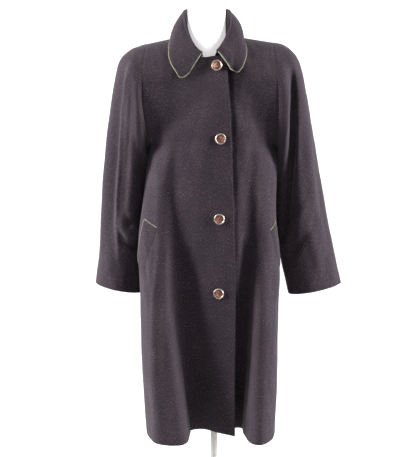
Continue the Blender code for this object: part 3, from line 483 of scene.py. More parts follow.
# Places where the cloth swells: pieces, middle, reach along x, y, z, height
SWELLS = (
    (("sleeve_right",), (-0.171, 0.005, 1.085), (0.017, 0.017, 0.017), 0.0100),
    (("front_right", "back"), (-0.163, 0.000, 1.084), (0.018, 0.018, 0.018), 0.0070),
    (("sleeve_left",), (0.181, 0.005, 1.074), (0.018, 0.018, 0.027), 0.0090),
    (("front_left", "back"), (0.173, 0.000, 1.072), (0.018, 0.018, 0.027), 0.0070),
    (("sleeve_left",), (0.170, 0.005, 1.099), (0.016, 0.016, 0.016), 0.0070),
    (("front_left", "back"), (0.164, 0.000, 1.094), (0.016, 0.016, 0.016), 0.0055),
    (("front_right", "back"), (-0.186, -0.035, 0.850), (0.045, 0.045, 0.110), 0.0130),
    (("front_left", "back"), (0.188, -0.030, 0.760), (0.040, 0.040, 0.080), 0.0050),
)

# Small unevenness of hanging cloth: height, waves per metre across and down, start
RIPPLES = (
    (0.00055, 9.0, 2.6, 0.4),
    (0.00040, 15.0, -4.2, 1.9),
    (0.00028, 24.0, 6.5, 3.1),
    (0.00018, 41.0, -11.0, 5.2),
)
SEAM_SINK = 0.0011
SEAM_WIDTH = 0.0036
SEAM_CALM = 0.016

# How fast a fold fades where the cloth turns away, and how a ripple slants with depth
CREASE_TURN = 1.8
RIPPLE_SLANT = 0.7

# The coat's points that a laid piece can lie on: how near, and beyond what x on the left front,
# which is under the lap before it. They are searched for this many points at a time
NEAR = 0.06
LAP_X = 0.03
SEARCH = 48

# A button's face and back: share of its radius, height over its seat
BUTTON_FACE = (
    (0.00, 0.0052), (0.20, 0.0051), (0.40, 0.0046), (0.56, 0.0039), (0.66, 0.0033), (0.71, 0.0030),
    (0.76, 0.0036), (0.81, 0.0046), (0.88, 0.0051), (0.94, 0.0047), (0.98, 0.0037), (1.00, 0.0026),
)
BUTTON_BACK = ((0.97, 0.0012), (0.90, 0.0006), (0.30, 0.0004), (0.26, -0.0002), (0.26, -0.0012))
# Its petals, heart, beads and rope: waves round, slant, share of the radius, spread, height,
# lowest share of the height
BUTTON_RELIEF = (
    (8, 0, 0.36, 0.15, 0.00042, -0.4),
    (0, 0, 0.10, 0.07, 0.00035, 0.0),
    (40, 0, 0.63, 0.035, 0.00016, -1.0),
    (48, 16, 0.88, 0.07, 0.00014, -1.0),
)
BUTTON_RIM_FROM = 0.72
BUTTON_TURN = 11

# A buttonhole: half its straight length, radius of its ends, how far beside its button's middle
# and over the cloth it lies. Its stitches: how many, radius, wave in it, share upwards, sideways
HOLE_HALF = 0.0135
HOLE_END = 0.0016
HOLE_ASIDE = 0.0115
HOLE_LIFT = 0.0002
STITCHES = 65
STITCH_RADIUS = 0.00062
STITCH_WAVE = 0.00016
STITCH_HIGH, STITCH_WIDE = 0.8, 1.15

# Backdrop: half width, front and back end of its floor, radius of its bend, top, and how far
# behind the pole it starts to glow and over what length the glow grows
SWEEP_HALF = 2.3
SWEEP_FRONT, SWEEP_BACK = -2.4, 4.6
SWEEP_BEND = 1.2
SWEEP_TOP = 4.6
GLOW_START = 0.25
GLOW_RISE = 0.20

# Soft lights: name of the light and of its power's setting, place, target, width, height
LIGHTS = (
    ("light_left", (-2.8, -0.42, 2.0), (0.0, 0.0, 1.0), 1.1, 2.0),
    ("light_right", (2.8, -0.60, 2.0), (0.0, 0.0, 1.0), 1.1, 2.0),
    ("light_top", (0.0, -0.6, 3.6), (0.0, 0.0, 1.1), 2.4, 1.8),
    ("light_front", (-0.2, -3.9, 2.3), (0.0, 0.0, 1.0), 1.6, 1.0),
)

# The photograph's camera: place, degrees that it looks down, and in pixels the focal length
# and the picture's height
CAMERA_PLACE = (-0.0395, -2.9, 1.35)
CAMERA_DOWN = 9.4
FOCAL_PIXELS = 1069.0
PICTURE_PIXELS = 457.0
SENSOR_HEIGHT = 36.0

# The coat's cloth, kept once it is made
_made = {}


def smooth(at, stations, values):
    """Cubic curve through the values at the stations, read at the given places."""
    stations = np.asarray(stations, float)
    values = np.asarray(values, float)
    slopes = np.gradient(values, stations, axis=0)
    widths = np.diff(stations).reshape((-1,) + (1,) * (values.ndim - 1))
    rates = np.abs(np.diff(values, axis=0)) / widths
    before = np.concatenate([rates[:1], rates])
    after = np.concatenate([rates, rates[-1:]])
    limit = 3 * np.minimum(before, after)
    slopes = np.clip(slopes, -limit, limit)
    place = np.clip(at, stations[0], stations[-1])
    k = np.clip(np.searchsorted(stations, place, side="right") - 1, 0, len(stations) - 2)
    step = stations[k + 1] - stations[k]
    t = (place - stations[k]) / step
    if values.ndim > 1:
        t = t[..., None]
        step = step[..., None]
    rise = t * t * (3 - 2 * t)
    start = values[k] * (1 - rise) + slopes[k] * step * t * (1 - t) ** 2
    return start + values[k + 1] * rise + slopes[k + 1] * step * t * t * (t - 1)


def curve(table, at):
    """Points of a table of step, x, y, z at the given steps."""
    rows = np.array(table)
    return smooth(at, rows[:, 0], rows[:, 1:])


def unit(vectors):
    """The vectors over their own lengths."""
    return vectors / np.maximum(np.linalg.norm(vectors, axis=-1, keepdims=True), 1e-12)


def share_along(line):
    """How far along the line each of its points lies, from 0 to 1."""
    along = np.concatenate([[0], np.cumsum(np.linalg.norm(np.diff(line, axis=0), axis=1))])
    return along / along[-1]


def outer_edge(side, armhole, steps, facing):
    """The side seam up to the armpit, then the armhole with the y of its front or back."""
    own = np.array(armhole)[:, [0, 1, 2 if facing == FRONT else 3, 4]]
    below = curve(side, np.minimum(steps, 1.0))
    above = curve(own, np.maximum(steps, 1.0))
    return np.where((steps < 1.0)[:, None], below, above)


def crossing(u, start, end, start_pull, end_pull):
    """A cubic row from start to end, leaving and arriving along the two pulls."""
    rise = u * u * (3 - 2 * u)
    bend = start_pull * u * (1 - u) ** 2 + end_pull * u * u * (u - 1)
    return start * (1 - rise) + end * rise + bend


def panel(inner, outer, rows, folds, steps, shares, facing):
    """One cubic row across the panel for each step up the coat, with its hem folds added.

    The row's turn at its outer end is an angle, and its fullness is the length of its pulls over
    its width.
    """
    row = np.array(rows)
    lean, turn, full = smooth(steps, row[:, 0], row[:, 1:]).T
    turn = np.radians(turn)
    span = outer - inner
    straight = np.clip((ROUND - full) / (ROUND - 1.0), 0.0, 1.0)
    depth = -facing * np.abs(span[:, 1])
    reach = np.abs(span[:, 0])
    start_y = straight * span[:, 1] + lean * reach
    start_pull = np.stack([full * span[:, 0], start_y, span[:, 2]], 1)
    end_x = full * span[:, 0] * np.cos(turn)
    end_y = full * depth * np.sin(turn) + straight * span[:, 1]
    end_pull = np.stack([end_x, end_y, span[:, 2]], 1)
    u = shares[None, :, None]
    points = crossing(u, inner[:, None], outer[:, None], start_pull[:, None], end_pull[:, None])
    return points + hem_folds(points, folds, shares)


def hem_folds(points, folds, shares):
    """The move to each fold's place at the hem, times its fall to a power."""
    fold = np.array(folds)
    target_x, target_y, top, power = smooth(shares, fold[:, 0], fold[:, 1:]).T
    hem_z = points[0, :, 2]
    fall = np.clip((top[None] - points[:, :, 2]) / (top - hem_z)[None], 0.0, 1.0) ** power[None]
    move = np.zeros_like(points)
    move[..., 0] = fall * (target_x - points[0, :, 0])[None]
    move[..., 1] = fall * (target_y - points[0, :, 1])[None]
    return move


def sleeve(armhole, angles, rings, fold, steps):
    """Oval rings, each a middle plus two half axes times cosine and sine, joined by cubic curves.

    The first ring is the armhole itself. A fold is a bell round the ring, sunk towards its middle.
    """
    ring = np.array(rings)
    over, under, half = ring[:, None, 1:4], ring[:, None, 4:7], ring[:, None, 7:8]
    middle = (over + under) / 2
    long_way = (over - under) / 2
    along = unit(long_way)
    front = np.array([0.0, -1.0, 0.0])
    short_way = unit(front - along * (along @ front)[..., None]) * half
    lengthwise = long_way * np.cos(angles)[None, :, None]
    round_ring = middle + lengthwise + short_way * np.sin(angles)[None, :, None]
    guides = np.concatenate([armhole[None], round_ring])
    places = np.concatenate([[0.0], ring[:, 0]])
    points = smooth(steps, places, guides.reshape(len(places), -1)).reshape(len(steps), -1, 3)
    row = np.array(fold)
    place, depth = smooth(steps, row[:, 0], row[:, 1:]).T
    depth = np.where((steps < row[0, 0]) | (steps > row[-1, 0]), 0.0, depth)
    away = (np.degrees(angles)[None] - place[:, None] + 180) % 360 - 180
    share = np.clip(1 - (away / FOLD_HALF_ANGLE) ** 2, 0.0, 1.0) ** 2
    inwards = unit(points.mean(axis=1, keepdims=True) - points)
    return points + inwards * (share * depth[:, None])[..., None]


class Cloth:
    """A grid of outer points, with the way it faces and whether its columns close round."""

    def __init__(self, points, flip, ring=False):
        self.points = points
        self.flip = flip
        self.ring = ring
        self.normals = np.zeros_like(points)

    def faces(self):
        """A four-sided face between each two neighbouring rows and columns."""
        rows, columns = self.points.shape[:2]
        ids = np.arange(rows * columns).reshape(rows, columns)
        if self.ring:
            ids = np.concatenate([ids, ids[:, :1]], axis=1)
        quads = np.stack([ids[:-1, :-1], ids[:-1, 1:], ids[1:, 1:], ids[1:, :-1]], axis=2)
        quads = quads.reshape(-1, 4)
        return quads[:, ::-1] if self.flip else quads

    def lengths(self):
        """Length along each row from its first point, and along each column from its first."""
        points = self.points
        if self.ring:
            points = np.concatenate([points, points[:, :1]], axis=1)
        across = np.linalg.norm(np.diff(points, axis=1), axis=2)
        down = np.linalg.norm(np.diff(points, axis=0), axis=2)
        across = np.concatenate([np.zeros((len(points), 1)), np.cumsum(across, axis=1)], axis=1)
        down = np.concatenate([np.zeros((1, points.shape[1])), np.cumsum(down, axis=0)])
        return across, down

    def area(self):
        """The sum over the faces of half the product of their crossed diagonals."""
        flat = self.points.reshape(-1, 3)
        quads = self.faces()
        diagonals = flat[quads[:, 2]] - flat[quads[:, 0]], flat[quads[:, 3]] - flat[quads[:, 1]]
        return float(np.linalg.norm(np.cross(*diagonals), axis=1).sum() / 2)


def share_normals(pieces):
    """At each point the mean of the unit normals of the faces round it, over all the pieces."""
    flat = np.concatenate([piece.points.reshape(-1, 3) for piece in pieces])
    starts = np.cumsum([0] + [piece.points.shape[0] * piece.points.shape[1] for piece in pieces])
    quads = np.concatenate([piece.faces() + start for piece, start in zip(pieces, starts)])
    place = np.unique(np.round(flat, 6), axis=0, return_inverse=True)[1].ravel()
    across = flat[quads[:, 2]] - flat[quads[:, 0]]
    up = flat[quads[:, 3]] - flat[quads[:, 1]]
    facing = unit(np.cross(across, up))
    total = np.zeros((place.max() + 1, 3))
    for corner in range(4):
        np.add.at(total, place[quads[:, corner]], facing)
    normals = unit(total[place])
    for piece, start, end in zip(pieces, starts[:-1], starts[1:]):
        piece.normals = normals[start:end].reshape(piece.points.shape)


def crease(cloth, name):
    """For each fold line its depth times a bell of the distance from it, seen from its side.

    It fades to nothing at the line's two ends and on cloth that faces away.
    """
    height = np.zeros(cloth.points.shape[:2])
    seen = cloth.points[..., [0, 2]][:, :, None]
    for side in (FRONT, BACK):
        facing = np.clip(CREASE_TURN * side * cloth.normals[..., 1], 0, 1)
        for width, depth, *path in CREASES.get((name, side), ()):
            line = np.array(path)
            run = line[1:] - line[:-1]
            t = np.clip(((seen - line[:-1]) * run).sum(-1) / (run ** 2).sum(-1), 0, 1)
            away = np.linalg.norm(seen - line[:-1] - run * t[..., None], axis=-1)
            best = away.argmin(-1)[..., None]
            along = (best + np.take_along_axis(t, best, -1))[..., 0] / len(run)
            near = np.take_along_axis(away, best, -1)[..., 0]
            fade = np.sqrt(np.clip(4 * along * (1 - along), 0, 1))
            height += depth * np.exp(-(near / width) ** 2) * fade * facing
    return height


def swell(cloth, name):
    """A bell of the distance from each swelling's middle, times its height."""
    height = np.zeros(cloth.points.shape[:2])
    for names, middle, reach, size in SWELLS:
        if name in names:
            away = (cloth.points - np.array(middle)) / np.array(reach)
            height += size * np.exp(-(away ** 2).sum(axis=2))
    return height


def ripple(cloth):
    """The sum of a few slanted sine waves over the cloth."""
    across = cloth.points[..., 0] + RIPPLE_SLANT * cloth.points[..., 1]
    up = cloth.points[..., 2]
    return sum(size * np.sin(2 * math.pi * (a * across + b * up) + start)
               for size, a, b, start in RIPPLES)


def finish_cloth(cloth, name, seams):
    """Creases and ripples, calm at the seams, a seam sunk by a bell of its distance, swells."""
    across, down = cloth.lengths()
    columns = cloth.points.shape[1]
    gaps = {
        "first column": across[:, :columns],
        "last column": across[:, -1:] - across[:, :columns],
        "first row": down[:, :columns],
        "last row": down[-1:, :columns] - down[:, :columns],
    }
    calm = np.ones(cloth.points.shape[:2])
    sunk = np.zeros(cloth.points.shape[:2])
    for seam in seams:
        calm *= 1 - np.exp(-(gaps[seam] / SEAM_CALM) ** 2)
        sunk = np.maximum(sunk, np.exp(-(gaps[seam] / SEAM_WIDTH) ** 2))
    height = calm * (crease(cloth, name) + ripple(cloth)) - SEAM_SINK * sunk + swell(cloth, name)
    return cloth.points + cloth.normals * height[..., None]


def coat():
    """The panels and sleeves, made once: the plain surfaces, then their finish."""
    if "coat" in _made:
        return _made["coat"]
    skirt_steps = np.linspace(0, 1, SKIRT_ROWS, endpoint=False)
    steps = np.concatenate([skirt_steps, np.linspace(1, 2, YOKE_ROWS + 1)])
    shares = np.linspace(0, 1, COLUMNS + 1)
    layout = {
        "front_right": (EDGE_FRONT_RIGHT, SIDE_RIGHT, ARMHOLE_RIGHT, ROW_FRONT_RIGHT,
                        FOLDS_FRONT_RIGHT, FRONT),
        "front_left": (EDGE_FRONT_LEFT, SIDE_LEFT, ARMHOLE_LEFT, ROW_FRONT_LEFT,
                       FOLDS_FRONT_LEFT, FRONT),
        "back_right": (BACK_NECK_RIGHT, SIDE_RIGHT, ARMHOLE_RIGHT, ROW_BACK_RIGHT,
                       FOLDS_BACK_RIGHT, BACK),
        "back_left": (BACK_NECK_LEFT, SIDE_LEFT, ARMHOLE_LEFT, ROW_BACK_LEFT,
                      FOLDS_BACK_LEFT, BACK),
    }
    grids = {}
    for name, (inner, side, armhole, rows, folds, facing) in layout.items():
        edge = outer_edge(side, armhole, steps, facing)
        grids[name] = panel(curve(inner, steps), edge, rows, folds, steps, shares, facing)
    back_grid = np.concatenate([grids["back_right"][:, ::-1], grids["back_left"][:, 1:]], axis=1)
    pieces = {
        "front_right": Cloth(grids["front_right"], True),
        "front_left": Cloth(grids["front_left"], False),
        "back": Cloth(back_grid, True),
    }
    sleeves = (("right", RINGS_RIGHT, RIDGE_RIGHT, True), ("left", RINGS_LEFT, TROUGH_LEFT, False))
    for side, rings, fold, flip in sleeves:
        front = grids["front_" + side][SKIRT_ROWS:, -1]
        back = grids["back_" + side][SKIRT_ROWS:, -1]
        armhole = np.concatenate([front[::-1], back[1:-1]])
        up = np.pi + np.pi * share_along(back)
        angles = np.concatenate([np.pi * share_along(front[::-1]), up[1:-1]])
        points = sleeve(armhole, angles, rings, fold, np.linspace(0, 1, SLEEVE_ROWS + 1))
        pieces["sleeve_" + side] = Cloth(points, flip, ring=True)
    share_normals(list(pieces.values()))
    seams = {
        "front_right": ("last column", "last row"),
        "front_left": ("last column", "last row"),
        "back": ("first column", "last column", "last row"),
        "sleeve_right": ("first row",),
        "sleeve_left": ("first row",),
    }
    for name, piece in pieces.items():
        piece.points = finish_cloth(piece, name, seams[name])
    share_normals(list(pieces.values()))
    _made["coat"] = pieces
    return pieces


def loops_round(cloth):
    """The cloth's open edges as closed loops: the points' numbers, and each one's way outwards."""
    points = cloth.points
    rows, columns = points.shape[:2]
    ids = np.arange(rows * columns).reshape(rows, columns)
    low, high = unit(points[0] - points[1]), unit(points[-1] - points[-2])
    if cloth.ring:
        return [(ids[0], low), (ids[-1][::-1], high[::-1])]
    first, last = unit(points[:, 0] - points[:, 1]), unit(points[:, -1] - points[:, -2])
    ways = np.zeros_like(points)
    ways[0] += low
    ways[-1] += high
    ways[:, 0] += first
    ways[:, -1] += last
    loop = np.concatenate([ids[0], ids[1:, -1], ids[-1, -2::-1], ids[-2:0:-1, 0]])
    return [(loop, unit(ways.reshape(-1, 3)[loop]))]


def wall(cloth, thickness):
    """Outer grid, inner grid a wall behind it, and half-round rims between their edges.

    A rim's points are the edge's middle plus half the wall, by cosine along the normal and by
    sine outwards. Returns points, faces and each face corner's place on the cloth in metres.
    """
    outer = cloth.points.reshape(-1, 3)
    inner = outer - cloth.normals.reshape(-1, 3) * thickness
    count = len(outer)
    quads = cloth.faces()
    points = [outer, inner]
    faces = [quads, quads[:, ::-1] + count]
    across, down = cloth.lengths()
    place = np.stack([across, down], axis=2)
    columns = cloth.points.shape[1]
    corner = np.stack([place[:-1, :-1], place[:-1, 1:], place[1:, 1:], place[1:, :-1]], axis=2)
    corner = corner.reshape(-1, 4, 2)
    corner = corner[:, ::-1] if cloth.flip else corner
    places = [corner, corner[:, ::-1]]
    flat_place = place[:, :columns].reshape(-1, 2)
    total = 2 * count
    for loop, way in loops_round(cloth):
        middle = (outer[loop] + inner[loop]) / 2
        half = (outer[loop] - inner[loop]) / 2
        turns = np.pi * np.arange(1, RIM_STEPS) / RIM_STEPS
        bend = way * thickness / 2
        arcs = middle + half * np.cos(turns)[:, None, None] + bend * np.sin(turns)[:, None, None]
        points.append(arcs.reshape(-1, 3))
        n = len(loop)
        between = [total + k * n + np.arange(n) for k in range(RIM_STEPS - 1)]
        lines = [loop, *between, loop + count]
        total += n * (RIM_STEPS - 1)
        spots = flat_place[loop]
        for a, b in zip(lines[:-1], lines[1:]):
            quad = np.stack([np.roll(a, -1), a, b, np.roll(b, -1)], axis=1)
            spot = np.stack([np.roll(spots, -1, 0), spots, spots, np.roll(spots, -1, 0)], axis=1)
            faces.append(quad[:, ::-1] if cloth.flip else quad)
            places.append(spot[:, ::-1] if cloth.flip else spot)
    return np.concatenate(points), np.concatenate(faces), np.concatenate(places)


def add_mesh(name, points, faces, looks, node=None, places=None, marks=None):
    """A smooth mesh object on the root body, with its looks and its solid's node.

    places holds each face corner's place on the cloth in metres, and marks each face's look. A
    mesh without places is closed, and its faces are turned outwards.
    """
    mesh = bpy.data.meshes.new(name)
    mesh.from_pydata(points.tolist(), [], faces)
    for look in looks:
        mesh.materials.append(look)
    if marks is not None:
        mesh.polygons.foreach_set("material_index", np.array(marks, np.int32))
    if places is None:
        build = bmesh.new()
        build.from_mesh(mesh)
        bmesh.ops.recalc_face_normals(build, faces=build.faces[:])
        build.to_mesh(mesh)
        build.free()
    else:
        layer = mesh.uv_layers.new(name="cloth")
        layer.data.foreach_set("uv", places.reshape(-1).astype(np.float32))
        mesh.validate()
    mesh.shade_smooth()
    piece = bpy.data.objects.new(name, mesh)
    bpy.context.scene.collection.objects.link(piece)
    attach(piece, "root")
    if node:
        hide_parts(node)
    return piece


def closed_rings(grid, ends, flip=False):
    """A run of rings closed at each end by a fan to that end's middle point."""
    rings, sides = grid.shape[:2]
    count = rings * sides
    first = np.arange(sides)
    last = first + count - sides
    start_fan = np.stack([first, np.roll(first, -1), np.full(sides, count)], axis=1)
    end_fan = np.stack([np.roll(last, -1), last, np.full(sides, count + 1)], axis=1)
    faces = Cloth(grid, flip, ring=True).faces().tolist() + start_fan.tolist() + end_fan.tolist()
    return np.concatenate([grid.reshape(-1, 3), ends]), faces


def add_cloth(name, cloth, node, thickness):
    """A cloth wall; its widest row, longest column and area are worked out but not used."""
    points, faces, places = wall(cloth, thickness)
    piece = add_mesh(name, points + SHIFT, faces.tolist(), [loden()], node, places)
    across, down = cloth.lengths()
    width, length = float(across[:, -1].max()), float(down[-1].max())
    area = min(cloth.area(), width * length)


def surface_near(points):
    """For each point the nearest coat point and its normal, of those round the given points."""
    pieces = coat()
    keep = {name: np.ones(piece.points.shape[:2], bool) for name, piece in pieces.items()}
    keep["front_left"] = pieces["front_left"].points[..., 0] >= LAP_X
    base = np.concatenate([piece.points[keep[name]] for name, piece in pieces.items()])
    normals = np.concatenate([piece.normals[keep[name]] for name, piece in pieces.items()])
    close = ((base > points.min(0) - NEAR) & (base < points.max(0) + NEAR)).all(1)
    base, normals = base[close], normals[close]
    near = np.concatenate([((part[:, None] - base[None]) ** 2).sum(-1).argmin(1)
                           for part in np.array_split(points, max(len(points) // SEARCH, 1))])
    return base[near], normals[near]


def laid_on(points, lift, only_lower=False):
    """Points moved along the near surface's normal until they stand at the lift above it."""
    flat = points.reshape(-1, 3)
    base, normals = surface_near(flat)
    short = lift - ((flat - base) * normals).sum(1)
    if only_lower:
        short = np.maximum(short, 0)
    return (flat + normals * short[:, None]).reshape(points.shape)


def on_front(x, z):
    """The right front's point and normal straight behind x and z, on its nearest point's plane."""
    piece = coat()["front_right"]
    base, normals = piece.points.reshape(-1, 3), piece.normals.reshape(-1, 3)
    away = (base[None, :, 0] - x[:, None]) ** 2 + (base[None, :, 2] - z[:, None]) ** 2
    near = away.argmin(1)
    base, normals = base[near], normals[near]
    drop = (normals[:, 0] * (x - base[:, 0]) + normals[:, 2] * (z - base[:, 2])) / normals[:, 1]
    return np.stack([x, base[:, 1] - drop, z], axis=1), normals


def on_panel(cloth, share, height):
    """Points and normals at a share of the row and a height, straight between grid points."""
    rows, columns = cloth.points.shape[:2]
    grid = np.concatenate([cloth.points, cloth.normals], axis=2)
    place = share * (columns - 1)
    k = np.clip(np.floor(place).astype(int), 0, columns - 2)
    part = (place - k)[None, :, None]
    column = grid[:, k] * (1 - part) + grid[:, k + 1] * part
    r = np.clip((column[..., 2] < height[None]).sum(0) - 1, 0, rows - 2)
    low, high = column[r, np.arange(len(r))], column[r + 1, np.arange(len(r))]
    t = (height - low[:, 2]) / (high[:, 2] - low[:, 2])
    found = low + (high - low) * t[:, None]
    return found[:, :3], unit(found[:, 3:])


def tube(path, up, radius):
    """A round cord: the path plus its radius by cosine along up and by sine across it.

    The radius shrinks to nearly nothing over the last two points at each end.
    """
    along = unit(np.gradient(path, axis=0))
    up = unit(up - along * (up * along).sum(1, keepdims=True))
    side = np.cross(along, up)
    size = np.full(len(path), radius)
    for place, share in enumerate(CORD_TIPS):
        size[[place, -1 - place]] = radius * share
    turns = 2 * np.pi * np.arange(CORD_SIDES) / CORD_SIDES
    rise = up[:, None] * np.cos(turns)[None, :, None]
    aside = side[:, None] * np.sin(turns)[None, :, None]
    rings = path[:, None] + size[:, None, None] * (rise + aside)
    faces = Cloth(rings, False, ring=True).faces()
    first = np.arange(CORD_SIDES)
    ends = [first[::-1].tolist(), (first + (len(path) - 1) * CORD_SIDES).tolist()]
    return rings.reshape(-1, 3), faces.tolist() + ends


def add_cord(name, path, up, radius, node):
    """A piping cord as one closed mesh, made three times finer along its path first."""
    steps = share_along(path)
    fine = np.linspace(0, 1, 3 * len(path))
    points, faces = tube(smooth(fine, steps, path), smooth(fine, steps, up), radius)
    add_mesh(name, points + SHIFT, faces, [piping_cloth()], node)


def collar_cloth():
    """The collar as one strip: up the stand, over an arc at the roll, then down the leaf.

    The leaf is a straight slope plus four times share times one minus share of its bulge, moved
    off the coat where it would lie closer than its wall.
    """
    rows = np.array([row[1:] for row in COLLAR])
    stations = share_along(rows[:, :3])
    middle = stations[[row[0] for row in COLLAR].index("centre back")]
    at = np.linspace(0, 1, COLLAR_COLUMNS + 1)
    roll = smooth(at, stations, rows[:, :3])
    tips = np.exp(-(np.minimum(at, 1 - at) / TIP_SPREAD) ** 2)
    lift = WALL + COLLAR_LAID + TIP_LIFT * tips
    edge = laid_on(smooth(at, stations, rows[:, 3:6]), lift)
    bulge_size = smooth(at, stations, rows[:, 6:])
    bottom = neckline(at, middle)
    along = unit(np.gradient(roll, axis=0))
    outwards = unit(np.cross([0.0, 0.0, 1.0], along))
    down = np.cross(outwards, along)
    down *= -np.sign(down[:, 2:3])
    radius = COLLAR_FOLD_RADIUS
    inside = roll - outwards * radius + down * radius
    outside = roll + outwards * radius + down * radius
    slant = edge - outside
    bulge = np.cross(slant, along)
    bulge *= np.sign(np.sum(bulge * outwards, axis=1))[:, None]
    bulge = unit(bulge) * bulge_size
    stand = np.linspace(0, 1, STAND_STEPS + 1)[:, None, None]
    strip = [bottom + (inside - bottom) * stand]
    turns = np.linspace(np.pi, 0, ROLL_STEPS)[1:-1, None, None]
    strip.append(roll + down * radius + radius * (outwards * np.cos(turns) - down * np.sin(turns)))
    share = np.linspace(0, 1, LEAF_STEPS + 1)[:, None, None]
    leaf = outside + slant * share + bulge * 4 * share * (1 - share)
    strip.append(laid_on(leaf, np.tile(lift, LEAF_STEPS + 1), only_lower=True))
    cloth = Cloth(np.concatenate(strip), False)
    share_normals([cloth])
    cloth.points = cloth.points + cloth.normals * COLLAR_RIPPLE * ripple(cloth)[..., None]
    share_normals([cloth])
    return cloth


def neckline(at, middle):
    """The foot of the stand, a little inside and above the necklines of the panels.

    From each end it follows the front for half its way, then the back up to its middle.
    """
    right = 2 * np.clip(at / middle, 0, 1)
    left = 2 * np.clip((1 - at) / (1 - middle), 0, 1)
    front_right = curve(EDGE_FRONT_RIGHT, FOOT_RIGHT + (2 - FOOT_RIGHT) * np.minimum(right, 1))
    back_right = curve(BACK_NECK_RIGHT, 2 - (2 - FOOT_BACK) * np.maximum(right - 1, 0))
    front_left = curve(EDGE_FRONT_LEFT, FOOT_LEFT + (2 - FOOT_LEFT) * np.minimum(left, 1))
    back_left = curve(BACK_NECK_LEFT, 2 - (2 - FOOT_BACK) * np.maximum(left - 1, 0))
    right_side = np.where((right < 1)[:, None], front_right, back_right)
    left_side = np.where((left < 1)[:, None], front_left, back_left)
    foot = np.where((at < middle)[:, None], right_side, left_side)
    inwards = np.array([NECK_X, 0.0, 0.0]) - foot
    inwards[:, 2] = 0
    return foot + unit(inwards) * COLLAR_INSET + np.array([0.0, 0.0, COLLAR_LIFT])


def rim_path(line, within, normals, reach, thickness):
    """Points just outside a rim: past the line, away from the points within, at half the wall."""
    return line + unit(line - within) * reach - normals * thickness / 2


def build_collar():
    """The collar's wall, and a cord round its leaf from one front end to the other."""
    cloth = collar_cloth()
    add_cloth("collar_cloth", cloth, "collar", WALL)
    reach = PIPING_RADIUS * COLLAR_REACH
    grid, normals = cloth.points, cloth.normals
    start = STAND_STEPS + ROLL_STEPS - 1
    right = rim_path(grid[start:, 0], grid[start:, 1], normals[start:, 0], reach, WALL)
    edge = rim_path(grid[-1], grid[-2], normals[-1], reach, WALL)
    left = rim_path(grid[start:, -1], grid[start:, -2], normals[start:, -1], reach, WALL)
    corners = [right[-1] + edge[0] - grid[-1, 0], left[-1] + edge[-1] - grid[-1, -1]]
    path = np.concatenate([right[:-1], corners[:1], edge[1:-1], corners[1:], left[-2::-1]])
    up = np.concatenate([normals[start:, 0], normals[-1, 1:-1], normals[start:, -1][::-1]])
    path = laid_on(path, PIPING_RADIUS + PIPING_LIFT, only_lower=True)
    add_cord("collar_cord", path, up, PIPING_RADIUS, "collar_piping")


def build_welt(side):
    """A pocket welt: a strip between four corners on the front, lifted by its own wall.

    A point lies between the corners by its two shares, and the lift grows with the cube of the
    share that is left to the outer end.
    """
    corners = np.array(WELT_RIGHT if side == "right" else WELT_LEFT)
    inner_top, outer_top, outer_low, inner_low = corners
    v = np.linspace(0, 1, WELT_ROWS + 1)[:, None, None]
    w = np.linspace(0, 1, WELT_COLUMNS + 1)[None, :, None]
    top = (1 - w) * inner_top + w * outer_top
    low = (1 - w) * inner_low + w * outer_low
    share, height = ((1 - v) * top + v * low).reshape(-1, 2).T
    points, facing = on_panel(coat()["front_" + side], share, height)
    points = points.reshape(WELT_ROWS + 1, WELT_COLUMNS + 1, 3)
    facing = facing.reshape(points.shape)
    rise = (WELT_FOOT + WELT_RISE * (1 - (1 - w) ** 3)) * np.ones_like(v)
    cloth = Cloth(points + facing * rise, side == "left")
    share_normals([cloth])
    name = "pocket_welt_" + side
    add_cloth(name + "_cloth", cloth, name, WELT_WALL)
    grid, normals = cloth.points, cloth.normals
    reach = PIPING_RADIUS * WELT_REACH
    top = rim_path(grid[0], grid[1], normals[0], reach, WELT_WALL)
    edge = rim_path(grid[:, -1], grid[:, -2], normals[:, -1], reach, WELT_WALL)
    corner = top[-1] + edge[0] - grid[0, -1]
    path = np.concatenate([top[:-1], [corner], edge[1:]])
    up = np.concatenate([normals[0], normals[1:, -1]])
    radius = PIPING_RADIUS * WELT_PIPING
    add_cord(f"pocket_cord_{side}", path, up, radius, "pocket_piping_" + side)


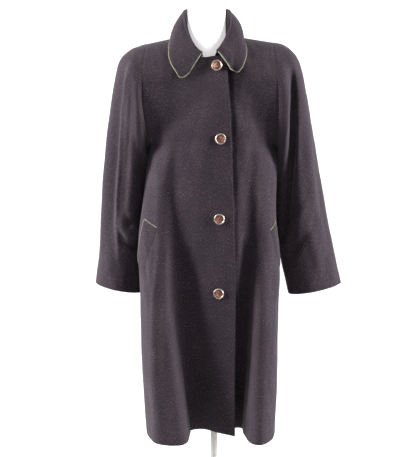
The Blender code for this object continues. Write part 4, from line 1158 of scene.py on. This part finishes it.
def build_button(number, x, z):
    """A turned disc: its height is a profile over the radius plus a low relief.

    Each part of the relief is a cosine of the angle times a bell over the radius. A short shank
    joins the disc to the cloth.
    """
    r = np.linspace(0, 1, BUTTON_RINGS)
    turn = np.arange(BUTTON_SIDES) / BUTTON_SIDES * 2 * np.pi
    face, back = np.array(BUTTON_FACE), np.array(BUTTON_BACK)
    height = smooth(r, face[:, 0], face[:, 1])[:, None] + np.zeros(BUTTON_SIDES)[None]
    for waves, slant, place, spread, size, lowest in BUTTON_RELIEF:
        bell = np.exp(-((r - place) / spread) ** 2)[:, None]
        wave = np.cos(waves * turn[None] + slant * r[:, None])
        height = height + size * np.clip(wave * bell, lowest, 1)
    shares = np.concatenate([r[1:], back[:, 0]])[:, None]
    heights = np.concatenate([height[1:], np.repeat(back[:, 1:], BUTTON_SIDES, axis=1)])
    flat_x = np.cos(turn)[None] * shares * BUTTON_RADIUS
    flat_y = np.sin(turn)[None] * shares * BUTTON_RADIUS
    local = np.stack([flat_x, flat_y, heights], axis=2)
    spot, normal = on_front(np.array([x]), np.array([z]))
    spot, normal = spot[0], normal[0]
    right = unit(np.cross([0.0, 0.0, 1.0], normal))
    up = np.cross(normal, right)
    lean = math.radians(BUTTON_TURN * number)
    ways = np.array([
        right * math.cos(lean) + up * math.sin(lean),
        up * math.cos(lean) - right * math.sin(lean),
        normal,
    ])
    grid = spot + normal * BUTTON_SEAT + local @ ways
    centre = spot + normal * (BUTTON_SEAT + height[0, 0])
    foot = spot + normal * (BUTTON_SEAT + back[-1, 1])
    points, faces = closed_rings(grid, [centre, foot], flip=True)
    ring = np.repeat(np.arange(len(grid) - 1), BUTTON_SIDES)
    on_rim = (ring > BUTTON_RIM_FROM * BUTTON_RINGS).astype(int).tolist()
    marks = on_rim + [0] * BUTTON_SIDES + [1] * BUTTON_SIDES
    looks = [button_centre(), button_rim()]
    add_mesh(f"button_{number}_disc", points + SHIFT, faces, looks, f"button_{number}",
             marks=marks)


def build_buttonhole(number, x, z):
    """A worked buttonhole beside its button: two straight sides joined by two half rounds.

    Each stitch is a bump along the closed path, a sine of the length round it.
    """
    s = np.linspace(0, 1, HOLE_STEPS, endpoint=False)
    straight = 2 * HOLE_HALF / (4 * HOLE_HALF + 2 * np.pi * HOLE_END)
    bow = 0.5 - straight
    upper = np.clip(s / straight, 0, 1)
    right = np.clip((s - straight) / bow, 0, 1)
    lower = np.clip((s - straight - bow) / straight, 0, 1)
    left = np.clip((s - 2 * straight - bow) / bow, 0, 1)
    level = -HOLE_HALF + 2 * HOLE_HALF * upper - 2 * HOLE_HALF * lower
    hole_x = level + HOLE_END * np.sin(np.pi * right) - HOLE_END * np.sin(np.pi * left)
    hole_z = np.where(s < straight + bow, HOLE_END * np.cos(np.pi * right),
                      -HOLE_END * np.cos(np.pi * left))
    spot, normal = on_front(x - HOLE_ASIDE + hole_x, z + hole_z)
    path = spot + normal * HOLE_LIFT
    along = unit(np.roll(path, -1, 0) - np.roll(path, 1, 0))
    up = unit(normal - along * (normal * along).sum(1, keepdims=True))
    side = np.cross(along, up)
    size = STITCH_RADIUS + STITCH_WAVE * np.sin(2 * np.pi * STITCHES * s)
    around = 2 * np.pi * np.arange(HOLE_SIDES) / HOLE_SIDES
    rise = up[:, None] * STITCH_HIGH * np.cos(around)[None, :, None]
    aside = side[:, None] * STITCH_WIDE * np.sin(around)[None, :, None]
    rings = path[:, None] + size[:, None, None] * (rise + aside)
    closed = Cloth(np.concatenate([rings, rings[:1]]), False, ring=True)
    faces = closed.faces() % (HOLE_STEPS * HOLE_SIDES)
    points = rings.reshape(-1, 3) + SHIFT
    add_mesh(f"buttonhole_{number}", points, faces.tolist(), [thread()])


def build_form():
    """The form's body: rounded rings from the seat to the neck, closed by a fan at each end.

    A ring's x and y are its half axes times the cosine and sine of the turn, to a power that
    rounds its front.
    """
    rows = np.array([row[1:] for row in FORM_RINGS])
    steps = np.linspace(0, len(rows) - 1, FORM_STEPS + 1)
    guides = smooth(steps, np.arange(len(rows)), rows)
    middle, front_z, back_z, side_z, width, front, back = guides.T
    turn = np.arange(FORM_SIDES) / FORM_SIDES * 2 * math.pi
    power = np.where(np.sin(turn) < 0, 2 / FRONT_FULLNESS, 1.0)
    side = np.sign(np.cos(turn)) * np.abs(np.cos(turn)) ** power
    ahead = np.sign(np.sin(turn)) * np.abs(np.sin(turn)) ** power
    depth = np.where(ahead < 0, front[:, None], back[:, None])
    middle_z = np.where(ahead < 0, front_z[:, None], back_z[:, None])
    z = middle_z + (side_z[:, None] - middle_z) * np.cos(turn) ** 2
    x = middle[:, None] + width[:, None] * side
    grid = np.stack([x, depth * ahead, z], axis=2)
    add_turned("form_body", grid + SHIFT, "form_torso", form_cover())


def turned_grid(profile, sides, middle=0.0):
    """Rings of a profile of radius and height turned about an upright axis at the middle."""
    line = np.array(profile)
    turn = np.arange(sides) / sides * 2 * math.pi
    x = middle + line[:, :1] * np.cos(turn)[None]
    y = line[:, :1] * np.sin(turn)[None]
    return np.stack([x, y, np.repeat(line[:, 1:], sides, axis=1)], axis=2)


def add_turned(name, grid, node, look):
    """A closed mesh of rings with a fan to the middle of the ring at each end."""
    ends = [grid[0].mean(0), grid[-1].mean(0)]
    points, faces = closed_rings(grid, ends)
    add_mesh(name, points, faces, [look], node)


def build_stand():
    """The neck's cap, the thin pole and the round foot, each a profile turned about its axis."""
    neck = FORM_RINGS[-1]
    top, radius = neck[4] + SEAM_GAP, neck[5]
    seat, foot = FORM_RINGS[0][2] - SEAM_GAP, BASE_HEIGHT + SEAM_GAP
    cap = [(radius, top), (radius, top + CAP_HEIGHT * 0.5)]
    for bend in np.linspace(0, np.pi / 2, CAP_STEPS)[1:]:
        inwards = CAP_ROUNDING * (1 - math.cos(bend))
        cap.append((radius - inwards, top + CAP_HEIGHT * (0.5 + 0.5 * math.sin(bend))))
    cap.append((radius * 0.5, top + CAP_HEIGHT))
    cap_grid = turned_grid(cap, FORM_SIDES, neck[1]) + SHIFT
    add_turned("form_neck_cap", cap_grid, "form_cap", form_cover())
    pole = [
        (POLE_RADIUS - CHAMFER, foot), (POLE_RADIUS, foot + CHAMFER),
        (POLE_RADIUS, seat - CHAMFER), (POLE_RADIUS - CHAMFER, seat),
    ]
    add_turned("pole_shaft", turned_grid(pole, POLE_SIDES), "form_pole", stand_paint())
    base = [
        (BASE_RADIUS - CHAMFER, 0.0), (BASE_RADIUS, CHAMFER), (BASE_RADIUS, BASE_HEIGHT * 0.25),
        (BASE_RADIUS - 0.003, BASE_HEIGHT * 0.45), (BASE_RADIUS - 0.03, BASE_HEIGHT * 0.8),
        (0.02, BASE_HEIGHT),
    ]
    add_turned("round_foot", turned_grid(base, BASE_SIDES), "form_base", stand_paint())


def new_look(name, build):
    """A node material made once: build gets its nodes and the main shader."""
    found = bpy.data.materials.get(name)
    if found:
        return found
    look = bpy.data.materials.new(name)
    look.use_nodes = True
    tree = look.node_tree
    build(Nodes(tree), tree.nodes["Principled BSDF"])
    return look


class Nodes:
    """Short ways to add and join shader nodes."""

    def __init__(self, tree):
        self.tree = tree

    def add(self, kind, **inputs):
        """A node of a kind, its inputs fed."""
        return self.feed(self.tree.nodes.new("ShaderNode" + kind), **inputs)

    def feed(self, node, **inputs):
        """Joins or sets a node's inputs, with _ in a name for a space."""
        for name, value in inputs.items():
            self.join(value, node.inputs[name.replace("_", " ")])
        return node

    def join(self, value, socket):
        """Links another node's output, or sets a plain value."""
        if isinstance(value, bpy.types.NodeSocket):
            self.tree.links.new(value, socket)
        else:
            socket.default_value = value

    def place(self):
        """Each point's place in its object."""
        return self.add("TexCoord").outputs["Object"]

    def mapped(self, coordinates, scale, turn=0.0):
        """The coordinates stretched by a scale and turned in their plane."""
        node = self.add("Mapping", Vector=coordinates, Scale=scale, Rotation=(0.0, 0.0, turn))
        return node.outputs["Vector"]

    def noise(self, vector, scale, detail=2.0, roughness=0.5):
        """Fractal noise."""
        node = self.add("TexNoise", Vector=vector, Scale=scale, Detail=detail, Roughness=roughness)
        return node.outputs["Fac"]

    def math(self, kind, first, second):
        """One operation on two values."""
        node = self.tree.nodes.new("ShaderNodeMath")
        node.operation = kind
        self.join(first, node.inputs[0])
        self.join(second, node.inputs[1])
        return node.outputs[0]

    def line(self, value, slope, start):
        """The value times a slope, plus a start."""
        return self.math("ADD", self.math("MULTIPLY", value, slope), start)

    def total(self, first, *others):
        """The sum of values, each times its weight."""
        whole = self.math("MULTIPLY", *first)
        for other in others:
            whole = self.math("ADD", whole, self.math("MULTIPLY", *other))
        return whole

    def ramp(self, value, *stops):
        """Colours mixed by the value's place between the stops."""
        node = self.add("ValToRGB", Fac=value)
        marks = node.color_ramp.elements
        while len(marks) < len(stops):
            marks.new(0.5)
        for mark, (place, colour) in zip(marks, stops):
            mark.position = place
            mark.color = (*colour, 1.0)
        return node.outputs["Color"]

    def bump(self, height, strength, distance, normal=None):
        """A normal that follows the height, on top of another one if there is one."""
        node = self.add("Bump", Height=height, Strength=strength, Distance=distance)
        if normal is not None:
            self.join(normal, node.inputs["Normal"])
        return node.outputs["Normal"]


def loden():
    """Milled wool: noises of three sizes mix dark, middle and light fibres and emboss them."""
    def build(nodes, shader):
        place = nodes.tree.nodes.new("ShaderNodeUVMap")
        place.uv_map = "cloth"
        place = place.outputs["UV"]
        fibres = nodes.noise(nodes.mapped(place, (1.0, 0.42, 1.0)), 620.0, 3.0, 0.62)
        hairs = nodes.noise(nodes.mapped(place, (1.0, 0.30, 1.0), 0.7), 520.0, 2.0, 0.6)
        heather = nodes.noise(nodes.mapped(place, (0.7, 1.0, 1.0)), 360.0, 3.0, 0.65)
        mottle = nodes.noise(place, 13.0, 3.0, 0.6)
        mixed = nodes.total((fibres, 0.42), (hairs, 0.26), (heather, 0.22), (mottle, 0.10))
        middle = settings().cloth_colour
        colour = nodes.ramp(mixed, (0.42, settings().cloth_dark), (0.48, middle), (0.53, middle),
                            (0.62, settings().cloth_light))
        relief = nodes.total((fibres, 0.6), (heather, 0.7), (hairs, 0.5))
        broad = nodes.bump(nodes.noise(place, 60.0, 2.0, 0.5), 0.35, 0.0016)
        nodes.feed(shader, Base_Color=colour, Roughness=0.94, Specular_IOR_Level=0.18,
                   Sheen_Weight=0.22, Sheen_Roughness=0.45, Sheen_Tint=(0.80, 0.74, 0.80, 1.0),
                   Normal=nodes.bump(relief, 0.55, 0.0009, broad))
    return new_look("wool cloth", build)


def piping_cloth():
    """Olive braid: fine noise and patches between a pale and a darker green."""
    def build(nodes, shader):
        place = nodes.place()
        grain = nodes.noise(place, 900.0, 2.0, 0.6)
        patches = nodes.noise(place, 140.0, 2.0, 0.5)
        pale = settings().piping_colour
        dark = [0.45 * c for c in pale]
        mixed = nodes.total((grain, 0.6), (patches, 0.4))
        colour = nodes.ramp(mixed, (0.36, dark), (0.62, pale))
        nodes.feed(shader, Base_Color=colour, Roughness=0.85, Sheen_Weight=0.3,
                   Normal=nodes.bump(grain, 0.5, 0.0005))
    return new_look("piping braid", build)


def thread():
    """Dull thread with a fine grain, its near-black tone partly painted shade of the buttonhole's
    slit.
    """
    def build(nodes, shader):
        grain = nodes.noise(nodes.place(), 1400.0, 2.0, 0.6)
        # Near-black thread: partly the thread's own colour, partly painted shade standing in for
        # the dark slit of the buttonhole
        colour = nodes.ramp(grain, (0.35, (0.006, 0.005, 0.006)), (0.65, (0.022, 0.018, 0.021)))
        nodes.feed(shader, Base_Color=colour, Roughness=0.75,
                   Normal=nodes.bump(grain, 0.3, 0.0003))
    return new_look("dark thread", build)


def button_rim():
    """Bright worn metal: a slight noise in colour and roughness."""
    def build(nodes, shader):
        wear = nodes.noise(nodes.place(), 420.0, 3.0, 0.6)
        colour = nodes.ramp(wear, (0.38, (0.34, 0.22, 0.18)), (0.58, (0.88, 0.80, 0.72)))
        nodes.feed(shader, Base_Color=colour, Metallic=0.85,
                   Roughness=nodes.line(wear, 0.25, 0.22))
    return new_look("button rim metal", build)


def button_centre():
    """Dull copper: a noise darkens the metal and roughens it."""
    def build(nodes, shader):
        wear = nodes.noise(nodes.place(), 520.0, 3.0, 0.6)
        colour = nodes.ramp(wear, (0.38, (0.11, 0.048, 0.034)), (0.62, (0.48, 0.235, 0.170)))
        nodes.feed(shader, Base_Color=colour, Metallic=0.8,
                   Roughness=nodes.line(wear, 0.3, 0.26))
    return new_look("button copper", build)


def form_cover():
    """White stretch cloth: a fine noise in tone and relief, with a painted glow that keeps it
    white in shade.
    """
    def build(nodes, shader):
        grain = nodes.noise(nodes.place(), 700.0, 2.0, 0.5)
        tone = settings().form_colour
        colour = nodes.ramp(grain, (0.3, [0.95 * c for c in tone]), (0.7, tone))
        # Painted light: the cover glows in its own colour so it stays white where shade falls on
        # it
        nodes.feed(shader, Base_Color=colour, Emission_Color=colour, Emission_Strength=0.55,
                   Roughness=0.8, Normal=nodes.bump(grain, 0.15, 0.0003))
    return new_look("form cover", build)


def stand_paint():
    """Pale paint with a faint noise in its tone and gloss."""
    def build(nodes, shader):
        grain = nodes.noise(nodes.place(), 60.0, 2.0, 0.5)
        colour = nodes.ramp(grain, (0.3, (0.72, 0.69, 0.66)), (0.7, (0.78, 0.75, 0.73)))
        nodes.feed(shader, Base_Color=colour, Roughness=nodes.line(grain, 0.1, 0.35))
    return new_look("stand paint", build)


def backdrop_paint():
    """Plain paint with a faint noise in tone, glowing white from just behind the object.

    The glow is the distance behind its start over its rise, held between 0 and 1.
    """
    def build(nodes, shader):
        place = nodes.place()
        grain = nodes.noise(place, 2.0, 1.0, 0.5)
        colour = nodes.ramp(grain, (0.3, (0.45, 0.45, 0.45)), (0.7, (0.47, 0.47, 0.47)))
        y = nodes.add("SeparateXYZ", Vector=place).outputs["Y"]
        behind = nodes.math("MULTIPLY", nodes.math("SUBTRACT", y, GLOW_START), 1 / GLOW_RISE)
        rise = nodes.math("MINIMUM", nodes.math("MAXIMUM", behind, 0.0), 1.0)
        nodes.feed(shader, Base_Color=colour, Emission_Color=(1.0, 1.0, 1.0, 1.0),
                   Emission_Strength=nodes.math("MULTIPLY", rise, settings().backdrop_glow),
                   Roughness=1.0, Specular_IOR_Level=0.0)
    return new_look("backdrop white", build)


def build_stage():
    """A floor that sweeps up into a back wall: flat, a quarter turn, then upright.

    Soft lights, an even room light and the photograph's camera go with it.
    """
    scene = bpy.context.scene
    turns = np.linspace(0, np.pi / 2, SWEEP_STEPS)[1:]
    y_bend = SWEEP_BACK + SWEEP_BEND * np.sin(turns)
    z_bend = SWEEP_BEND * (1 - np.cos(turns))
    y = np.concatenate([[SWEEP_FRONT, SWEEP_BACK], y_bend, [SWEEP_BACK + SWEEP_BEND]])
    z = np.concatenate([[0.0, 0.0], z_bend, [SWEEP_TOP]])
    x = np.array([-SWEEP_HALF, SWEEP_HALF])
    grid = np.stack(np.broadcast_arrays(x[None, :], y[:, None], z[:, None]), axis=2)
    mesh = bpy.data.meshes.new("white_sweep")
    mesh.from_pydata(grid.reshape(-1, 3).tolist(), [], Cloth(grid, False).faces().tolist())
    mesh.materials.append(backdrop_paint())
    mesh.shade_smooth()
    sweep = bpy.data.objects.new("white_sweep", mesh)
    scene.collection.objects.link(sweep)
    for name, place, target, width, height in LIGHTS:
        add_light(name, place, target, width, height, getattr(settings(), name))
    world = bpy.data.worlds.new("soft_room")
    world.use_nodes = True
    background = world.node_tree.nodes["Background"]
    background.inputs["Color"].default_value = (1.0, 1.0, 1.0, 1.0)
    background.inputs["Strength"].default_value = settings().room_light
    scene.world = world
    scene.view_settings.view_transform = "Standard"
    lens = bpy.data.cameras.new("photo_camera")
    lens.sensor_fit = "VERTICAL"
    lens.sensor_height = SENSOR_HEIGHT
    lens.lens = FOCAL_PIXELS * SENSOR_HEIGHT / PICTURE_PIXELS
    camera = bpy.data.objects.new("photo_camera", lens)
    camera.location = CAMERA_PLACE
    camera.rotation_euler = (math.radians(90 - CAMERA_DOWN), 0.0, 0.0)
    scene.collection.objects.link(camera)
    scene.camera = camera


def add_light(name, place, target, width, height, power):
    """A soft area light at a place, turned to face a target."""
    data = bpy.data.lights.new(name, "AREA")
    data.shape = "RECTANGLE"
    data.size, data.size_y = width, height
    data.energy = power
    light = bpy.data.objects.new(name, data)
    light.location = place
    way = Vector(target) - Vector(place)
    light.rotation_euler = way.to_track_quat("-Z", "Y").to_euler()
    bpy.context.scene.collection.objects.link(light)


def settings():
    """The scene's settings of the coat."""
    return bpy.context.scene.coat_settings


class CoatSettings(bpy.types.PropertyGroup):
    """Sizes and colours of the coat that can be changed before its pieces are built."""

    wall: bpy.props.FloatProperty(
        name="Wall", description="Thickness of the panels' and sleeves' loden", default=WALL,
        min=0.001, max=0.003, subtype="DISTANCE", unit="LENGTH")
    cloth_dark: bpy.props.FloatVectorProperty(
        name="Dark fibres", description="Colour of the darkest fibres",
        default=(0.016, 0.012, 0.018), size=3, min=0.0, max=1.0, subtype="COLOR")
    cloth_colour: bpy.props.FloatVectorProperty(
        name="Loden", description="Main colour of the wool", default=(0.039, 0.028, 0.0375),
        size=3, min=0.0, max=1.0, subtype="COLOR")
    cloth_light: bpy.props.FloatVectorProperty(
        name="Light fibres", description="Colour of the lightest fibres",
        default=(0.135, 0.108, 0.128), size=3, min=0.0, max=1.0, subtype="COLOR")
    piping_colour: bpy.props.FloatVectorProperty(
        name="Piping", description="Colour of the piping", default=(0.34, 0.35, 0.21),
        size=3, min=0.0, max=1.0, subtype="COLOR")
    form_colour: bpy.props.FloatVectorProperty(
        name="Form", description="Colour of the dress form's cover",
        default=(0.96, 0.955, 0.95), size=3, min=0.0, max=1.0, subtype="COLOR")
    light_left: bpy.props.FloatProperty(
        name="Left light", description="Power of the left softbox", default=226.0,
        min=0.0, subtype="POWER", unit="POWER")
    light_right: bpy.props.FloatProperty(
        name="Right light", description="Power of the right softbox", default=196.0,
        min=0.0, subtype="POWER", unit="POWER")
    light_top: bpy.props.FloatProperty(
        name="Top light", description="Power of the top softbox", default=8.0,
        min=0.0, subtype="POWER", unit="POWER")
    light_front: bpy.props.FloatProperty(
        name="Front light", description="Power of the front softbox", default=4.0,
        min=0.0, subtype="POWER", unit="POWER")
    room_light: bpy.props.FloatProperty(
        name="Room light", description="Strength of the even light from all round",
        default=0.10, min=0.0)
    backdrop_glow: bpy.props.FloatProperty(
        name="Backdrop glow", description="How brightly the backdrop glows by itself",
        default=0.95, min=0.0)


class COAT_OT_fronts(bpy.types.Operator):
    """Build the two fronts as hollow cloth walls"""

    bl_idname = "coat.fronts"
    bl_label = "Fronts"

    def execute(self, context):
        for side in ("right", "left"):
            name = "front_" + side
            add_cloth(name + "_cloth", coat()[name], name, settings().wall)
        return {"FINISHED"}


class COAT_OT_back(bpy.types.Operator):
    """Build the back as one hollow cloth wall"""

    bl_idname = "coat.back"
    bl_label = "Back"

    def execute(self, context):
        add_cloth("back_cloth", coat()["back"], "back", settings().wall)
        return {"FINISHED"}


class COAT_OT_sleeves(bpy.types.Operator):
    """Build the two sleeves as hollow cloth tubes"""

    bl_idname = "coat.sleeves"
    bl_label = "Sleeves"

    def execute(self, context):
        for side in ("right", "left"):
            name = "sleeve_" + side
            add_cloth(name + "_cloth", coat()[name], name, settings().wall)
        return {"FINISHED"}


class COAT_OT_collar(bpy.types.Operator):
    """Build the turned-down collar and its piping"""

    bl_idname = "coat.collar"
    bl_label = "Collar"

    def execute(self, context):
        build_collar()
        return {"FINISHED"}


class COAT_OT_pockets(bpy.types.Operator):
    """Build the two slanted welts and their piping"""

    bl_idname = "coat.pockets"
    bl_label = "Pockets"

    def execute(self, context):
        build_welt("right")
        build_welt("left")
        return {"FINISHED"}


class COAT_OT_buttons(bpy.types.Operator):
    """Build the four buttons and their buttonholes"""

    bl_idname = "coat.buttons"
    bl_label = "Buttons"

    def execute(self, context):
        for number, (x, z) in enumerate(BUTTONS, 1):
            build_button(number, x, z)
            build_buttonhole(number, x, z)
        return {"FINISHED"}


class COAT_OT_form(bpy.types.Operator):
    """Build the limbless form, its cap, pole and foot"""

    bl_idname = "coat.form"
    bl_label = "Form and stand"

    def execute(self, context):
        build_form()
        build_stand()
        return {"FINISHED"}


class COAT_OT_stage(bpy.types.Operator):
    """Build the white sweep, the soft lights and the camera"""

    bl_idname = "coat.stage"
    bl_label = "Stage"

    def execute(self, context):
        build_stage()
        return {"FINISHED"}


class COAT_PT_panel(bpy.types.Panel):
    """The coat's settings and pieces in the sidebar"""

    bl_label = "Loden coat"
    bl_space_type = "VIEW_3D"
    bl_region_type = "UI"
    bl_category = "Coat"

    def draw(self, context):
        """Every setting, then a button for every operator."""
        layout = self.layout
        for name in CoatSettings.__annotations__:
            layout.prop(settings(), name)
        for kind in OPERATORS:
            layout.operator(kind.bl_idname)


OPERATORS = (
    COAT_OT_fronts,
    COAT_OT_back,
    COAT_OT_sleeves,
    COAT_OT_collar,
    COAT_OT_pockets,
    COAT_OT_buttons,
    COAT_OT_form,
    COAT_OT_stage,
)
CLASSES = (CoatSettings, *OPERATORS, COAT_PT_panel)


def register():
    """Makes the settings, operators and panel known."""
    for kind in CLASSES:
        bpy.utils.register_class(kind)
    bpy.types.Scene.coat_settings = bpy.props.PointerProperty(type=CoatSettings)


def unregister():
    """Takes them away again, the last one first."""
    del bpy.types.Scene.coat_settings
    for kind in reversed(CLASSES):
        bpy.utils.unregister_class(kind)


def main():
    """Builds every piece."""
    register()
    bpy.ops.coat.fronts()
    bpy.ops.coat.back()
    bpy.ops.coat.sleeves()
    bpy.ops.coat.collar()
    bpy.ops.coat.pockets()
    bpy.ops.coat.buttons()
    bpy.ops.coat.form()
    bpy.ops.coat.stage()


if __name__ == "__main__":
    main()
